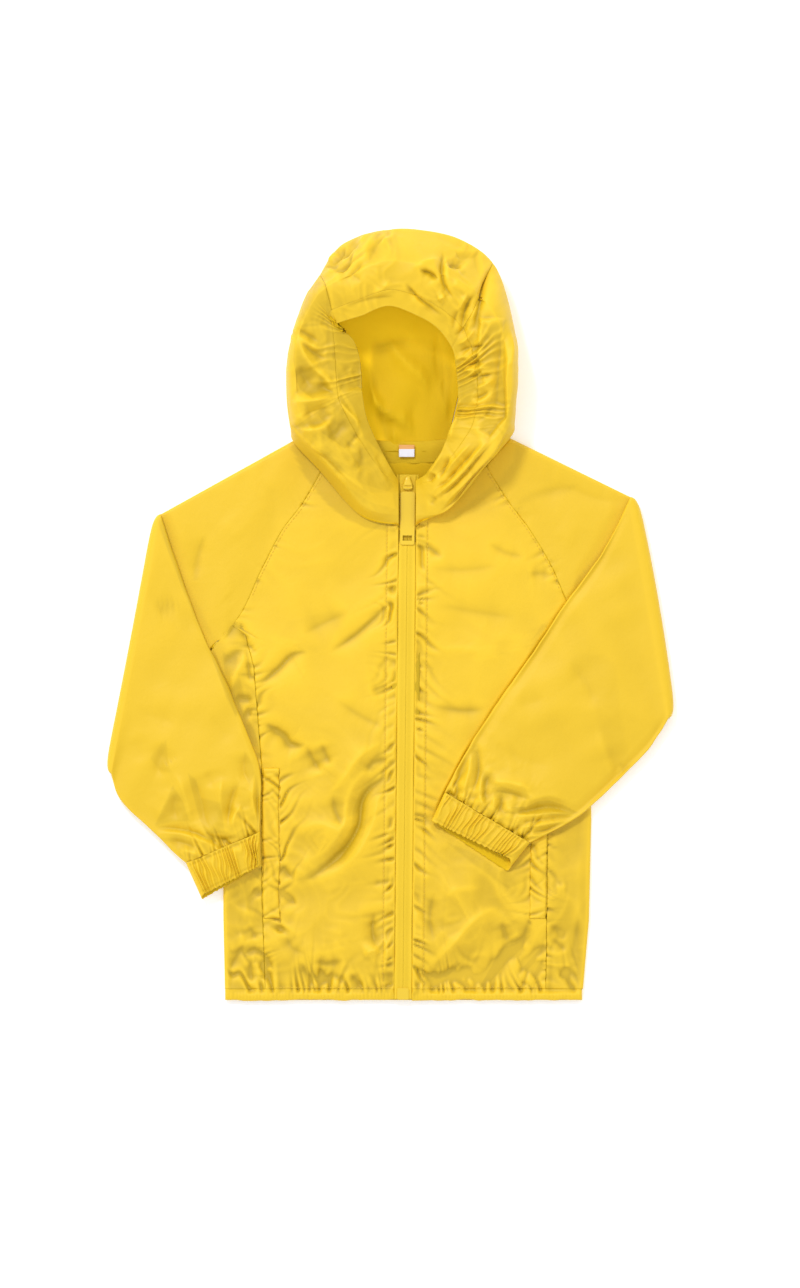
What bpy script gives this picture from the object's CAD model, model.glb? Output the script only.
"""A child's hooded windbreaker, zipped up and laid out on its back with both sleeves folded over the front.

Sizes are in millimetres from the zip's foot at the hem until to_frame() puts them in the shared frame: +X is
the wearer's left, +Y runs from the hem to the hood and +Z points up from the surface. Cloth is a closed thin
wall whose outer face is worked out on a grid, and whose creases are rows of the tables below."""

import math
from collections import namedtuple

import bpy
import numpy as np
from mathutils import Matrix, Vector


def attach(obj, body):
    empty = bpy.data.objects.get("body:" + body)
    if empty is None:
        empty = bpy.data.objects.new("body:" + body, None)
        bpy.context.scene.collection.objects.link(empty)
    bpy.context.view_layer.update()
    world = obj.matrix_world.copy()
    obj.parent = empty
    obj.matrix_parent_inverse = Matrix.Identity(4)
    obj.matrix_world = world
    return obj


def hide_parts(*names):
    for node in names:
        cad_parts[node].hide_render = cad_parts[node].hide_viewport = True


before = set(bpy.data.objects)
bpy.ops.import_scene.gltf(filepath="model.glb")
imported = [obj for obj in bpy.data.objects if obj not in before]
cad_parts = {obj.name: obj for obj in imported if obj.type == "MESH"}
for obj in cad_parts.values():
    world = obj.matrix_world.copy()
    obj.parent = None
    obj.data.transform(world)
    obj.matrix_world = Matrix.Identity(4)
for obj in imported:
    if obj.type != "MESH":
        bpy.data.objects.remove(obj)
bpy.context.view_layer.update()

# ---- Sizes ----
ORIGIN = np.array([-11.8, 335.2, 0.0])
BODY_HEIGHT = 6.0  # of the two pressed layers of the body
ARM_HEIGHT = 5.4  # of a flattened sleeve
ARM_FROM, ARM_OVER = 130.0, 60.0  # where the body's height starts to turn into the arm's, and over how much
LAYER_GAP = 2.0  # between the front and the sleeve folded over it
SEAM_GAP = 0.08  # between two pieces along their seam
HEM_DEPTH = 9.6
NECK_FRONT_Y = 409.0  # where the fronts end under the hood
ZIP_FOOT_X, ZIP_LEAN = -1.4, 0.0095  # x of the zip's foot, and how far it leans for each mm up
ZIP_HALF, ZIP_TOP_Y = 7.4, 457.0
FACING = 17.6  # from the middle of the zip to the facing's line of stitching
CLOTH, HOOD_CLOTH = 0.5, 0.6  # how thick the shells are drawn
RIDGE, DEEPEST = -0.5, 1.6  # the range of the cloth's "hollow" values
UNDERARM_Y = 304
# The body's sides: y, x of the right side, x of the left side.
BODY_SIDES = np.array(
    [[0, -156, 154.5], [70, -157.5, 160.5], [157, -158, 162.5], [272, -160, 161], [UNDERARM_Y, -169, 165]]
)
# Each raglan seam, from the back neck to the underarm.
RAGLAN = {
    "right": [[-60, 482], [-86.6, 435], [-106, 409], [-124, 375], [-143, 335], [-169, 304]],
    "left": [[60, 482], [88, 437], [109, 409], [128, 377], [143, 343], [165, 304]],
}
FRONT_NECK_T = 0.085  # share along the raglan seam where the front's neck edge meets it
# The front's side seams: y and x.
SIDE_SEAM = {
    "right": [[HEM_DEPTH, -121], [90, -124], [200, -124], [290, -131], [335, -143]],
    "left": [[HEM_DEPTH, 123], [90, 124], [200, 125], [290, 131], [343, 143]],
}
# The corner where the shoulder meets the neck: x and y.
SHOULDER_NECK = {"right": [-93, 488.5], "left": [92, 488.7]}
SIGN = {"right": -1, "left": 1}
# A folded sleeve, row by row from the fold to the cuff: inner x, inner y, outer x, outer y.
SLEEVE_ROWS = {
    "right": [
        [-212, 422.5, -255, 197],
        [-184.5, 342, -250.5, 181],
        [-162, 292, -239, 166],
        [-142.5, 246, -225, 153],
        [-127.5, 207, -212, 140],
        [-124.5, 175, -200.5, 128.5],
        [-125.5, 146.5, -190, 119.5],
    ],
    "left": [
        [196.5, 437.5, 229.5, 245],
        [170, 387, 214, 220.5],
        [138, 343, 192, 197],
        [106, 294, 168, 174],
        [76, 252, 151.5, 160],
        [53, 215, 130, 147.5],
        [35, 181, 109, 137],
    ],
}
CUFF_END = {"right": [-125.5, 117, -176.5, 91], "left": [23.5, 156, 93.5, 122]}
# What differs between the two sleeves, in mm: how far the cuff's lower wall shows past its upper one, how
# far the fold bows out, how much the sleeve's edge rises, how much its wrist puffs up, how deep the seam
# over the cuff is, and how high the cuff's pleats are; then, as shares, how much paler the sleeve's edge
# and how much stronger the cuff's hollows look.
CUFF_UNDER = {"right": (0.0, -3.5), "left": (-3.0, -11.0)}
FOLD_BULGE = {"right": -0.8, "left": 2.5}
EDGE_RISE = {"right": 0.6, "left": -1.9}
WRIST_PUFF = {"right": 3.0, "left": 2.0}
CUFF_SEAM_DEPTH = {"right": 0.8, "left": 1.6}
PLEAT_HEIGHT = {"right": 2.6, "left": 1.9}
EDGE_PALER = {"right": 0.1, "left": 0.35}
CUFF_HOLLOWS = {"right": 0.7, "left": 0.4}

# The hood, row by row round its face opening, from the zip up the wearer's right and down the left. A row
# has five points, each x, y and height: the face edge, the crest, the rim, the foot on the floor and the
# seam it ends at.
HOOD_ROWS = np.array(
    [
        [[-5, 452, 10], [-5, 440, 13.5], [-5, 422, 13.5], [-5, 413, 10.5], [-5, 411.5, 8.4]],
        [[-14, 467, 20], [-28, 446, 26], [-34, 429, 23], [-38, 421, 10], [-31, 431, 8.4]],
        [[-31, 500, 30], [-57, 473, 39], [-69, 468, 33], [-74.5, 461, 10], [-66, 461, 8.4]],
        [[-36, 522, 33], [-84, 499, 44], [-95, 494, 33], [-98, 488, 12], [-93, 489.5, 7]],
        [[-37, 533, 34], [-91, 512, 46], [-101, 506, 28], [-93, 503, 0], [-62, 484, 0]],
        [[-37.5, 545, 35], [-94, 534, 47], [-103, 530, 27], [-95, 526, 0], [-37, 481, 0]],
        [[-39, 560, 37], [-94, 558, 48], [-102, 556, 27], [-94, 552, 0], [-45.2, 520, 0]],
        [[-44, 573, 40], [-90, 582, 50], [-96, 580, 27], [-88, 576, 0], [-54.3, 562, 0]],
        [[-54, 582, 43], [-80, 604, 52], [-87, 610, 27], [-80, 603, 0], [-63.5, 604, 0]],
        [[-60, 586, 45], [-68, 618, 54], [-73.5, 630, 26], [-68, 623, 0], [-36, 478.8, 0]],
        [[-38, 593, 49], [-40, 632, 57], [-54.5, 655.5, 26], [-49, 647, 0], [-22, 477.4, 0]],
        [[-14, 602, 50], [-13, 641, 58], [-14, 669, 26], [-13, 661, 0], [-8, 476.7, 0]],
        [[10, 594, 49], [17, 636, 58], [22, 667.8, 26], [20, 660, 0], [8, 476.7, 0]],
        [[28, 583, 46], [44, 624, 57], [51, 659.5, 26], [47, 652, 0], [22, 477.4, 0]],
        [[41, 566, 41], [66, 610, 54], [77, 640, 26], [72, 632, 0], [36, 478.8, 0]],
        [[44, 552, 37], [81, 588, 52], [89.5, 609, 27], [83, 604, 0], [65.6, 604, 0]],
        [[45.5, 540, 35], [88, 564, 50], [96, 575, 27], [88, 571, 0], [55.8, 562, 0]],
        [[46, 527, 34], [91, 540, 49], [97.5, 545, 27], [90, 541, 0], [45.9, 520, 0]],
        [[46, 514, 33], [91, 519, 48], [97, 520, 27], [89, 517, 0], [37.2, 481, 0]],
        [[43, 503, 32], [88, 504, 47], [96, 502, 28], [88, 500, 0], [62, 484, 0]],
        [[38, 491, 31], [83, 493, 44], [93, 491, 30], [93, 491, 14], [92, 489.5, 7]],
        [[31, 474, 27], [56, 466, 37], [70, 464, 28], [70, 465, 13], [66, 461, 8.4]],
        [[20, 458, 19], [31, 443, 26], [37, 426, 20], [37, 428, 11], [33, 431, 8.4]],
        [[9.7, 452, 10], [9.7, 440, 13.5], [9.7, 422, 13.5], [9.7, 413, 10.5], [9.7, 411.5, 8.4]],
    ],
    float,
)
CENTRE_FROM, CENTRE_TO = 9, 14  # the rows that the centre panel's seams follow
LAST_ROW = len(HOOD_ROWS) - 1
FLOOR_SHARE = 0.75  # share of a row at its foot, where the cloth turns under on to the floor
CASING_END = 0.1  # share of a row where the elastic casing ends

# ---- Creases ----
# path: points it runs through; rise: height of its crest, less than 0 for a trough; left and right: how far
# it falls away on each side of the path's direction. A short reach on one side only makes a sharp-edged
# tuck.
Fold = namedtuple("Fold", "path rise left right")
BODY_FOLDS = [
    # the long drape from the zip to the right pocket
    Fold([(-9, 199), (-28, 186), (-37, 172), (-40, 151), (-54, 128), (-77, 110), (-92, 103)], -3.4, 4, 7),
    Fold([(-18, 208), (-40, 192), (-50, 172), (-53, 152), (-67, 132), (-88, 119)], 2.2, 8, 13),
    Fold([(-8, 188), (-22, 176), (-28, 152), (-42, 126), (-70, 104)], 2.0, 16, 6),
    Fold([(-18, 226), (-40, 210), (-55, 190), (-68, 178)], 2.4, 9, 12),
    Fold([(-12, 211), (-28, 206), (-34, 194)], -1.5, 5, 6),
    Fold([(-63, 180), (-60, 165), (-52, 148)], -1.6, 8, 5),
    Fold([(-98, 140), (-80, 152), (-62, 150), (-50, 138)], 1.6, 12, 12),
    Fold([(-124, 242), (-106, 231), (-99, 223), (-84, 221)], -2.6, 4, 7),
    Fold([(-86, 222), (-80, 210), (-72, 198)], -1.8, 4, 8),
    Fold([(-73, 224), (-64, 204)], -1.3, 4, 7),
    Fold([(-128, 273), (-110, 288), (-98, 300), (-84, 304)], -2.2, 4, 6),
    Fold([(-66, 302), (-42, 318), (-22, 336), (-8, 350)], -1.9, 4, 6),
    Fold([(-90, 318), (-66, 330), (-48, 338)], -1.2, 12, 9),
    Fold([(-60, 262), (-38, 247), (-14, 236)], -0.9, 8, 6),
    Fold([(-30, 268), (-12, 274)], -0.9, 4, 4),
    Fold([(-80, 35), (-68, 32), (-52, 35)], -1.9, 5, 8),
    Fold([(-36, 38), (-28, 43), (-20, 42)], 1.6, 4, 4),
    Fold([(-26, 78), (-28, 60), (-24, 44)], -2.4, 5, 6),
    Fold([(-18, 62), (-15, 40), (-20, 20)], 1.5, 3, 3),
    Fold([(-92, 34), (-84, 22), (-77, 11)], -1.5, 3, 5),
    Fold([(-76, 30), (-69, 20), (-62, 10)], -1.8, 3, 5),
    Fold([(-48, 24), (-40, 15), (-35, 9)], -1.9, 3, 5),
    Fold([(-106, 66), (-110, 58)], -2.0, 4, 4),
    Fold([(-112, 95), (-102, 91), (-93, 82)], -1.6, 1.5, 3),
    Fold([(-108, 119), (-97, 104)], -1.4, 3, 4),
    Fold([(-104, 60), (-98, 46), (-84, 40)], -1.2, 7, 7),
    # the left front, below its sleeve
    Fold([(8, 21), (18, 22), (28, 18), (40, 24), (48, 33)], -3.2, 4, 5),
    Fold([(38, 13), (48, 22), (61, 31)], -1.7, 3, 4),
    Fold([(64, 9), (76, 25), (90, 42), (108, 58)], -3.4, 5, 5),
    Fold([(80, 42), (98, 46), (106, 62), (110, 76)], -1.8, 5, 7),
    Fold([(18, 26), (40, 46), (62, 70), (84, 82)], 2.8, 9, 8),
    Fold([(96, 20), (108, 34), (118, 45), (128, 47)], -2.2, 3, 4),
    Fold([(110, 18), (116, 28), (121, 37)], -1.6, 3, 3),
    Fold([(26, 95), (22, 72), (26, 50)], -1.6, 5, 7),
    Fold([(34, 88), (46, 96), (70, 98)], 1.4, 12, 12),
    Fold([(84, 70), (88, 56), (92, 50)], -1.3, 4, 5),
    Fold([(10, 396), (22, 393), (34, 384)], -1.3, 3, 4),
    Fold([(72, 398), (88, 389), (106, 385)], -0.8, 5, 5),
    Fold([(108, 371), (128, 371)], -0.8, 5, 5),
    Fold([(20, 376), (50, 374), (84, 378)], -0.8, 9, 9),
    Fold([(26, 344), (60, 338), (100, 332)], -0.9, 12, 10),
    Fold([(24, 256), (48, 252), (72, 253)], -1.4, 6, 8),
    Fold([(14, 300), (50, 306), (90, 296)], 0.9, 14, 14),
    # the back's wrap below the right sleeve, gathered to the hem
    Fold([(-153, 24), (-146, 38), (-136, 54)], -1.2, 3, 4),
    Fold([(-142, 38), (-130, 44), (-120, 36), (-112, 24)], -2.0, 3, 4),
    Fold([(-134, 34), (-133, 14)], -1.4, 3, 3),
    Fold([(-126, 38), (-120, 26), (-115, 13)], -1.5, 3, 3),
    Fold([(-144, 60), (-138, 44)], 0.9, 4, 4),
    Fold([(-136, 66), (-128, 52)], -1.0, 3, 4),
    Fold([(-124, 90), (-132, 98)], -1.4, 3, 4),
    # and below the left sleeve
    Fold([(126, 66), (134, 60), (140, 52)], -1.2, 3, 4),
    Fold([(127, 54), (134, 49), (141, 42)], -1.0, 3, 3),
    Fold([(130, 98), (142, 99)], 0.8, 4, 4),
    Fold([(152, 74), (148, 52), (144, 30)], -1.0, 7, 7),
    Fold([(133, 20), (140, 24), (144, 30)], -1.6, 3, 4),
    # under the right arm
    Fold([(-158, 312), (-150, 322), (-144, 332)], -0.9, 3, 4),
    Fold([(-143, 332), (-139, 316), (-132, 305), (-126, 301)], -1.2, 2, 3),
    Fold([(-160, 290), (-152, 298), (-144, 303), (-136, 304)], -0.8, 3, 4),
    Fold([(-152, 268), (-146, 284), (-138, 296), (-134, 306)], 1.2, 4, 4),
    Fold([(-137, 308), (-136, 290), (-133, 274)], -1.1, 1.5, 2),
    Fold([(-150, 262), (-138, 262), (-130, 262)], -1.4, 4, 4),
    Fold([(-140, 252), (-132, 248)], -0.9, 3, 3),
]
UPPER_FOLDS = {
    "right": [
        Fold([(-173, 404), (-179, 388), (-183, 364)], -1.5, 4, 6),
        Fold([(-156, 352), (-148, 344)], -0.7, 6, 6),
        Fold([(-120, 452), (-112, 430), (-118, 404)], -0.8, 9, 9),
        Fold([(-160, 420), (-140, 400)], 0.6, 14, 14),
    ],
    "left": [
        Fold([(98, 430), (118, 440), (142, 445), (166, 436), (198, 432)], -1.5, 6, 9),
        Fold([(104, 418), (120, 424)], -0.6, 5, 5),
        Fold([(128, 410), (150, 396)], 0.6, 12, 12),
    ],
}
SLEEVE_FOLDS = {
    "right": [
        Fold([(-196, 345), (-206, 343), (-216, 334)], -1.4, 7, 9),
        Fold([(-206, 224), (-213, 210), (-214, 200), (-202, 198)], -2.2, 9, 7),
        Fold([(-236, 250), (-214, 246), (-196, 238)], -0.9, 14, 14),
        Fold([(-202, 198), (-194, 188), (-188, 168), (-184, 154)], 2.0, 5, 9),
        Fold([(-200, 184), (-208, 170), (-216, 154)], 1.7, 7, 5),
        Fold([(-198, 182), (-200, 166), (-196, 156)], -2.2, 7, 7),
        Fold([(-186, 196), (-178, 178), (-174, 160), (-168, 148)], -2.8, 6, 9),
        Fold([(-158, 196), (-160, 176), (-158, 158)], 2.6, 6, 6),
        Fold([(-143, 192), (-150, 176), (-153, 158), (-151, 148)], -3.0, 4, 5),
        Fold([(-140, 172), (-148, 160), (-149, 148)], 1.8, 3, 3),
        Fold([(-137, 216), (-140, 200), (-134, 188)], -2.2, 4, 5),
        Fold([(-130, 196), (-132, 176), (-128, 158), (-129, 148)], 2.2, 3, 3),
        Fold([(-127, 186), (-126, 168), (-126, 150)], -2.0, 3, 3),
        Fold([(-218, 151), (-200, 149), (-180, 145), (-160, 133)], -2.8, 3, 4),
        Fold([(-216, 146), (-194, 145), (-174, 138), (-162, 131)], 2.4, 3, 3),
        Fold([(-208, 139), (-192, 137), (-178, 131)], -2.0, 3, 3),
        Fold([(-198, 131), (-186, 129), (-176, 124)], 1.6, 3, 3),
        Fold([(-174, 146), (-158, 140), (-142, 143)], -2.6, 5, 4),
        Fold([(-172, 200), (-166, 184)], -1.1, 7, 7),
        Fold([(-236, 230), (-226, 205)], -0.7, 12, 12),
        Fold([(-170, 250), (-150, 222)], -0.7, 10, 10),
    ],
    "left": [
        Fold([(142, 294), (152, 284), (160, 272), (166, 252)], -1.6, 8, 12),
        Fold([(167, 240), (172, 224), (178, 206), (184, 188)], 1.6, 5, 8),
        Fold([(176, 222), (184, 200), (196, 200)], -1.0, 8, 8),
        Fold([(186, 300), (196, 270), (210, 250)], -0.7, 16, 16),
        Fold([(60, 226), (64, 214), (64, 196), (58, 176)], -2.6, 3.5, 3.5),
        Fold([(58, 218), (56, 200), (52, 184), (50, 172)], 2.0, 2.5, 2.5),
        Fold([(54, 214), (49, 200), (46, 186), (46, 176)], -1.0, 2.5, 2.5),
        Fold([(44, 200), (41, 188), (43, 178)], 1.5, 2.5, 2.5),
        Fold([(68, 200), (66, 186), (67, 172), (72, 162)], 2.6, 3, 3),
        Fold([(78, 200), (71, 190), (70, 178), (72, 168)], -2.2, 4, 4),
        Fold([(74, 182), (92, 180), (112, 173)], -2.2, 3, 6),
        Fold([(72, 190), (92, 189), (114, 182)], 1.9, 5, 3),
        Fold([(84, 182), (84, 170), (80, 160)], -1.6, 3, 3),
        Fold([(77, 180), (78, 168), (76, 160)], 1.8, 2.5, 2.5),
        Fold([(90, 162), (108, 165), (124, 168), (140, 165), (152, 161)], -3.4, 5, 5),
        Fold([(92, 173), (110, 175), (128, 178), (148, 170)], 1.8, 8, 4),
        Fold([(92, 160), (112, 161), (134, 163), (152, 160)], 2.2, 3, 3),
        Fold([(96, 155), (114, 156), (134, 159), (150, 158)], -1.4, 2.5, 2.5),
        Fold([(98, 150), (116, 152), (134, 155), (148, 156)], 2.0, 2.5, 2.5),
        Fold([(100, 146), (118, 147), (136, 151), (146, 153)], -1.4, 2.5, 2.5),
        Fold([(103, 143), (118, 143), (134, 146), (142, 150)], 1.8, 2.5, 2.5),
        Fold([(106, 140), (120, 139), (132, 142)], -1.0, 2.5, 2.5),
        Fold([(124, 262), (96, 256)], -0.7, 8, 8),
        Fold([(80, 224), (104, 208), (130, 204)], -0.8, 9, 9),
    ],
}
HOOD_FOLDS = [
    # the crown
    Fold([(-6, 668), (-22, 654), (-36, 643), (-52, 635), (-68, 632)], 2.6, 3, 12),
    Fold([(-12, 668), (-24, 652), (-38, 642), (-54, 634), (-68, 630)], -1.9, 3, 1.4),
    Fold([(-34, 657), (-44, 649), (-58, 642)], -1.7, 1.4, 3),
    Fold([(-26, 664), (-40, 652), (-48, 642)], 1.2, 2, 3),
    Fold([(-50, 655), (-56, 646), (-64, 638)], -1.2, 1.3, 2.5),
    Fold([(-42, 648), (-48, 638), (-58, 630)], -1.3, 1.3, 2.5),
    Fold([(-58, 650), (-66, 640)], 1.2, 1.5, 2),
    Fold([(-34, 640), (-44, 632), (-52, 624)], -0.9, 1.3, 2),
    Fold([(0, 622), (10, 610), (22, 600), (34, 592)], -2.2, 1.6, 3.5),
    Fold([(4, 615), (14, 604), (24, 598)], 1.1, 3, 3),
    Fold([(12, 633), (22, 630), (30, 623)], -2.2, 1.4, 3.5),
    Fold([(6, 634), (22, 640), (34, 642)], 0.9, 3, 5),
    Fold([(34, 652), (33, 638), (34, 620), (44, 606)], -2.0, 1.5, 3.5),
    Fold([(38, 634), (44, 640), (50, 634)], -2.2, 5, 5),
    Fold([(28, 607), (36, 611)], 1.2, 2.5, 2.5),
    Fold([(-30, 612), (-18, 618), (-12, 626)], 0.9, 5, 5),
    Fold([(-52, 600), (-38, 605), (-22, 609), (-6, 610)], -0.6, 1.5, 3),
    Fold([(-58, 622), (-46, 628), (-36, 622)], -0.9, 5, 6),
    # down the wearer's right: a tuck, two hollows and the ridges round them
    Fold([(-95, 584), (-84, 577), (-72, 570)], -2.0, 3, 4),
    Fold([(-94, 578), (-84, 570), (-70, 563)], 1.8, 3, 2.5),
    Fold([(-90, 572), (-78, 561), (-66, 556)], -1.6, 2.5, 2.5),
    Fold([(-93, 578), (-87, 561), (-78, 548), (-66, 537), (-60, 526)], 3.6, 4, 5),
    Fold([(-90, 552), (-86, 540), (-78, 532)], -2.2, 8, 8),
    Fold([(-99, 519), (-82, 520), (-62, 523)], 3.6, 4, 5),
    Fold([(-90, 505), (-76, 512), (-62, 514)], -2.4, 6, 5),
    Fold([(-94, 497), (-78, 495), (-70, 498), (-61, 504)], 2.8, 3, 4),
    Fold([(-60, 524), (-52, 513), (-43, 503), (-41, 492)], 2.2, 3, 3),
    Fold([(-68, 486), (-58, 492), (-50, 506)], -2.4, 7, 7),
    Fold([(-50, 478), (-44, 486), (-38, 494)], -1.6, 2.5, 2.5),
    Fold([(-47, 481), (-40, 489)], 1.2, 2.5, 2.5),
    Fold([(-94, 493), (-76, 478), (-58, 462), (-36, 444), (-12, 430)], 2.4, 7, 5),
    Fold([(-80, 480), (-64, 466), (-48, 452)], -2.4, 4, 5),
    Fold([(-40, 482), (-36, 470), (-42, 460)], -1.4, 4, 4),
    Fold([(-28, 474), (-20, 458), (-12, 444)], 1.2, 4, 4),
    # down the wearer's left: gathers fanning from the elastic, a hollow, a long ridge
    Fold([(77, 642), (70, 618), (63, 596), (60, 578)], -3.0, 3, 3),
    Fold([(60, 612), (53, 600), (50, 586), (48, 578)], -2.6, 2.5, 2.5),
    Fold([(55, 614), (48, 600), (45, 588)], 1.8, 2.5, 2.5),
    Fold([(64, 604), (57, 590), (53, 578)], 2.2, 2.5, 2.5),
    Fold([(50, 602), (44, 592), (42, 580)], -1.6, 2, 2),
    Fold([(42, 576), (52, 582), (60, 596)], -1.8, 2, 2),
    Fold([(44, 568), (54, 574), (62, 584)], 1.8, 2, 2),
    Fold([(46, 562), (58, 566), (72, 569)], -2.2, 2, 2.5),
    Fold([(48, 557), (60, 560), (72, 566)], 2.6, 2.5, 2.5),
    Fold([(50, 551), (60, 552), (70, 556)], -2.2, 2, 2),
    Fold([(50, 546), (64, 548), (76, 549)], 2.6, 2, 2.5),
    Fold([(54, 541), (68, 542), (78, 544)], -2.2, 2, 2),
    Fold([(60, 530), (70, 534), (78, 540)], 1.8, 2, 2.5),
    Fold([(58, 522), (66, 524), (74, 530)], -1.6, 2, 2),
    Fold([(52, 508), (62, 512), (72, 520)], 1.6, 2.5, 2.5),
    Fold([(62, 502), (70, 508), (75, 516)], -1.5, 2.5, 2.5),
    Fold([(80, 588), (82, 566), (80, 546), (78, 520), (74, 496)], -2.6, 7, 8),
    Fold([(90, 590), (91, 566), (89, 540), (90, 508)], 3.4, 4, 3),
    Fold([(66, 588), (64, 574), (62, 562)], 2.0, 3, 3),
    Fold([(46, 508), (42, 496), (40, 484)], 2.4, 4, 6),
    Fold([(94, 502), (76, 480), (56, 456), (30, 426)], 3.0, 2.5, 3),
    Fold([(88, 490), (68, 463), (48, 438), (24, 418)], -2.6, 1.5, 2),
    Fold([(80, 490), (60, 466), (42, 446), (22, 430)], -2.2, 1.4, 2),
    Fold([(74, 488), (56, 466), (40, 449), (22, 434)], 2.4, 1.5, 2),
    Fold([(66, 484), (50, 466), (34, 449)], -2.4, 1.3, 2),
    Fold([(58, 484), (46, 470), (36, 458)], 1.8, 1.3, 2),
    Fold([(40, 474), (34, 462), (30, 452)], -2.6, 1.5, 2),
    Fold([(46, 462), (38, 452), (26, 444)], -1.8, 1.3, 2),
    Fold([(34, 476), (26, 462), (18, 452)], 1.6, 1.6, 2),
    Fold([(28, 458), (20, 450)], -2.2, 1.3, 1.6),
    Fold([(28, 438), (22, 430)], -1.5, 2, 2),
]
# Broad flat slopes between creases: the outline, where the slope is level with the cloth round it, how much
# it climbs per mm along X and Y, and over how many mm its edges return.
Slope = namedtuple("Slope", "outline level climb_x climb_y edge")
HOOD_SLOPES = [
    Slope([(-99, 580), (-90, 575), (-80, 557), (-66, 541), (-61, 527), (-80, 522), (-99, 523)],
        (-88, 556), -0.12, 0.08, 7),
    Slope([(-97, 508), (-68, 517), (-60, 508), (-70, 496), (-93, 494)], (-84, 508), -0.10, 0.12, 6),
    Slope([(-88, 618), (-67, 624), (-61, 602), (-63, 581), (-88, 583)], (-76, 605), -0.12, 0.1, 9),
    Slope([(-66, 588), (-38, 594), (-34, 560), (-34, 528), (-58, 526), (-66, 560)],
        (-58, 575), -0.16, 0.03, 6),
    Slope([(64, 592), (89, 593), (89.5, 530), (89, 505), (74, 487), (63, 494), (70, 524), (62, 556)],
        (76, 545), -0.24, 0.06, 4),
    Slope([(44, 652), (66, 652), (72, 622), (58, 606), (40, 618)], (52, 630), -0.05, -0.14, 6),
    Slope([(-70, 636), (-42, 662), (-18, 668), (-30, 640), (-52, 626)], (-44, 648), 0.20, -0.10, 5),
]
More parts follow.
